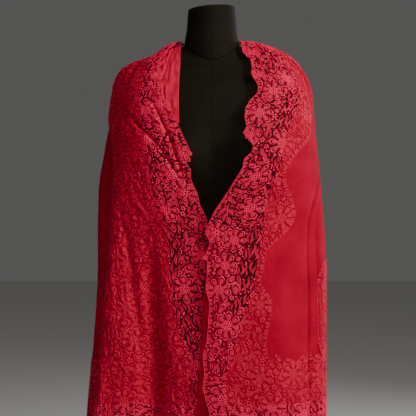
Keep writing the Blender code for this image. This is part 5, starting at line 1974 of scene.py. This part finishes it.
def knit_relief(tree, uv, x, y, pitch):
    """Jersey: columns of small V-shaped stitches."""
    column = maths(tree, "ABSOLUTE", wave(tree, x, times(tree, pitch, KNIT_COLUMN)))
    arms = wave(tree, plus(tree, y, times(tree, column, KNIT_ARM[0])), pitch)
    height = plus(tree, column, times(tree, arms, KNIT_ARM[1]))
    return plus(tree, height, noise(tree, uv, KNIT_FUZZ))


def make_net_group():
    """Six-sided net: three waves at 60 degrees peak at each hole, and thread is left between the peaks."""
    inputs = [("Cell", "NodeSocketFloat", 0.0022), ("Openness", "NodeSocketFloat", -0.2)]
    group, given, result = new_group("net_mesh", inputs, "Thread", "NodeSocketFloat")
    _, x, y = cloth_place(group)
    total = 0.0
    for k in range(NET_WAVES):
        angle = k * math.pi / NET_WAVES
        shifted = plus(group, times(group, x, math.cos(angle)), times(group, y, math.sin(angle)))
        total = plus(group, maths(group, "COSINE", in_turns(group, shifted, given["Cell"])), total)
    over = maths(group, "SUBTRACT", given["Openness"], total)
    group.links.new(maths(group, "MULTIPLY", over, NET_SHARPNESS, clamped=True), result)
    return group


tone_group = make_tone_group()
twill_group = make_relief_group("twill_weave", 0.0009, twill_relief)
stitch_group = make_relief_group("satin_stitch", 0.0006, stitch_relief)
net_group = make_net_group()
knit_group = make_relief_group("jersey_knit", 0.0012, knit_relief)
print("node groups:", len(bpy.data.node_groups))

# %% Building a cloth material
Cloth = namedtuple("Cloth", "deep light patches threads roughness shine sheen sheen_tint relief")

WOOL = Cloth(
    deep=(0.29, 0.0004, 0.017), light=(0.39, 0.0008, 0.024), patches=16.0, threads=700.0,
    roughness=0.85, shine=0.05, sheen=0.04, sheen_tint=(1.0, 0.05, 0.12), relief=0.35,
)
LACE = Cloth(
    deep=(0.76, 0.004, 0.062), light=(0.97, 0.009, 0.092), patches=30.0, threads=1100.0,
    roughness=0.60, shine=0.18, sheen=0.06, sheen_tint=(1.0, 0.10, 0.22), relief=0.45,
)
BACKED_LACE = WOOL._replace(deep=(0.44, 0.0004, 0.024), light=(0.60, 0.0010, 0.036))
NET = Cloth(
    deep=(0.20, 0.012, 0.023), light=(0.29, 0.019, 0.035), patches=60.0, threads=1200.0,
    roughness=0.70, shine=0.10, sheen=0.0, sheen_tint=(1.0, 0.2, 0.3), relief=0.0,
)
JERSEY = Cloth(
    deep=(0.0050, 0.0036, 0.0013), light=(0.0090, 0.0063, 0.0025), patches=26.0, threads=900.0,
    roughness=0.75, shine=0.10, sheen=0.0, sheen_tint=(1.0, 0.85, 0.7), relief=0.4,
)
GROOVE_SHADE_COLOUR = (0.22, 0.0, 0.014)    # painted shade: the dark colour in the grooves between the stitches
SHEEN_ROUGHNESS = 0.45
WOOL_SHOWS = 0.88           # how much of the wool's colour lace takes on


def placed_group(tree, group, **values):
    node = tree.nodes.new("ShaderNodeGroup")
    node.node_tree = group
    for label, value in values.items():
        feed(tree, node.inputs[label.replace("_", " ")], value)
    return node


def cloth_colour(tree, cloth):
    tone = placed_group(
        tree, tone_group,
        Deep=(*cloth.deep, 1.0), Light=(*cloth.light, 1.0),
        Patches_per_m=cloth.patches, Threads_per_m=cloth.threads,
    )
    return tone.outputs["Color"]


def kept_value(tree, name):
    node = tree.nodes.new("ShaderNodeAttribute")
    node.attribute_name = name
    return node.outputs["Fac"]


def like_wool_where_backed(tree, colour):
    """Lace that lies on wool looks fuller and redder, because the wool shows through it."""
    share = times(tree, kept_value(tree, "backed"), WOOL_SHOWS)
    return mixed(tree, share, colour, cloth_colour(tree, BACKED_LACE))


def cloth_material(name, cloth, relief_group, pitch, distance, groove_shading=None):
    made, tree, shader = new_material(name)
    colour = cloth_colour(tree, cloth)
    if groove_shading:
        # Painted shade: the grooves and hollows of the stitches take a darker colour.
        colour = mixed(tree, kept_value(tree, "thread_tone"), (*groove_shading, 1.0), colour)
        colour = like_wool_where_backed(tree, colour)
    tree.links.new(colour, shader.inputs["Base Color"])
    relief = placed_group(tree, relief_group, Pitch=pitch)
    press_bump(tree, shader, relief.outputs["Height"], cloth.relief, distance)
    shader.inputs["Roughness"].default_value = cloth.roughness
    shader.inputs["Specular IOR Level"].default_value = cloth.shine
    shader.inputs["Sheen Weight"].default_value = cloth.sheen
    shader.inputs["Sheen Roughness"].default_value = SHEEN_ROUGHNESS
    shader.inputs["Sheen Tint"].default_value = (*cloth.sheen_tint, 1.0)
    made.diffuse_color = (*cloth.light, 1.0)
    return made


def net_material(name, cloth, cell, openness):
    made, tree, shader = new_material(name)
    net = placed_group(tree, net_group, Cell=cell, Openness=openness)
    colour = like_wool_where_backed(tree, cloth_colour(tree, cloth))
    tree.links.new(colour, shader.inputs["Base Color"])
    tree.links.new(net.outputs["Thread"], shader.inputs["Alpha"])
    shader.inputs["Roughness"].default_value = cloth.roughness
    shader.inputs["Specular IOR Level"].default_value = cloth.shine
    return made


wool = cloth_material("crimson_wool", WOOL, twill_group, 0.0011, 0.0003)
lace_thread = cloth_material("crimson_lace_thread", LACE, stitch_group, 0.0007, 0.0002, GROOVE_SHADE_COLOUR)
net_thread = net_material("crimson_net", NET, 0.0019, -0.95)
jersey = cloth_material("black_jersey", JERSEY, knit_group, 0.0013, 0.0003)


def put_on(material, *objects):
    for obj in objects:
        obj.data.materials.clear()
        obj.data.materials.append(material)


put_on(wool, shawl_cloth, turned_edge_left)
put_on(lace_thread, turned_edge_neck, *flowers.values())
put_on(net_thread, *nets.values())
put_on(jersey, form_body, form_neck, form_seams)
print("materials:", wool.name, lace_thread.name, net_thread.name, jersey.name)

# %% [markdown]
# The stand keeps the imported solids, since a pole and a turned base need no finer shape. Its black enamel
# has a faint orange-peel surface and soft wear, which noise in the roughness and a weak bump give.

# %% The stand and the floor
ENAMEL = (0.018, 0.018, 0.019, 1.0)
ENAMEL_COAT = 0.25
ENAMEL_WEAR = (30.0, 0.30, 0.20)            # patches in a metre, how much they differ, least roughness
ENAMEL_PEEL = (900.0, 0.15, 0.0002)         # dimples in a metre, bump strength, their height
PAPER = (0.80, 0.79, 0.77, 1.0)
PAPER_ROUGHNESS = 0.9
FLOOR_REACH = 14.0


def enamel_material():
    made, tree, shader = new_material("black_enamel")
    place = tree.nodes.new("ShaderNodeTexCoord").outputs["Object"]
    wear, difference, least = ENAMEL_WEAR
    worn = plus(tree, times(tree, noise(tree, place, wear, 4.0), difference), least)
    feed(tree, shader.inputs["Roughness"], worn)
    dimples, strength, distance = ENAMEL_PEEL
    press_bump(tree, shader, noise(tree, place, dimples), strength, distance)
    shader.inputs["Base Color"].default_value = ENAMEL
    shader.inputs["Coat Weight"].default_value = ENAMEL_COAT
    return made


def studio_floor():
    mesh = bpy.data.meshes.new("studio_floor")
    corners = [(x * FLOOR_REACH, y * FLOOR_REACH, 0.0) for x, y in ((-1, -1), (1, -1), (1, 1), (-1, 1))]
    mesh.from_pydata(corners, [], [(0, 1, 2, 3)])
    floor = bpy.data.objects.new("studio_floor", mesh)
    bpy.context.collection.objects.link(floor)
    paper, _, shader = new_material("pale_paper")
    shader.inputs["Base Color"].default_value = PAPER
    shader.inputs["Roughness"].default_value = PAPER_ROUGHNESS
    mesh.materials.append(paper)
    return floor


enamel = enamel_material()
for node in ("form_pole", "form_base"):
    for slot in bpy.data.objects[node].material_slots:
        slot.material = enamel
studio_floor()
print("enamel on the pole and the base")

# %% [markdown]
# ## What each sheet was cut to
#
# A sheet's cut is the flat size of the stretch of cloth that shows. Its record also names the pieces that
# ride along with it, as the flowers do with their net.

# %% Sheets
SheetCut = namedtuple("SheetCut", "piece flat held companions")
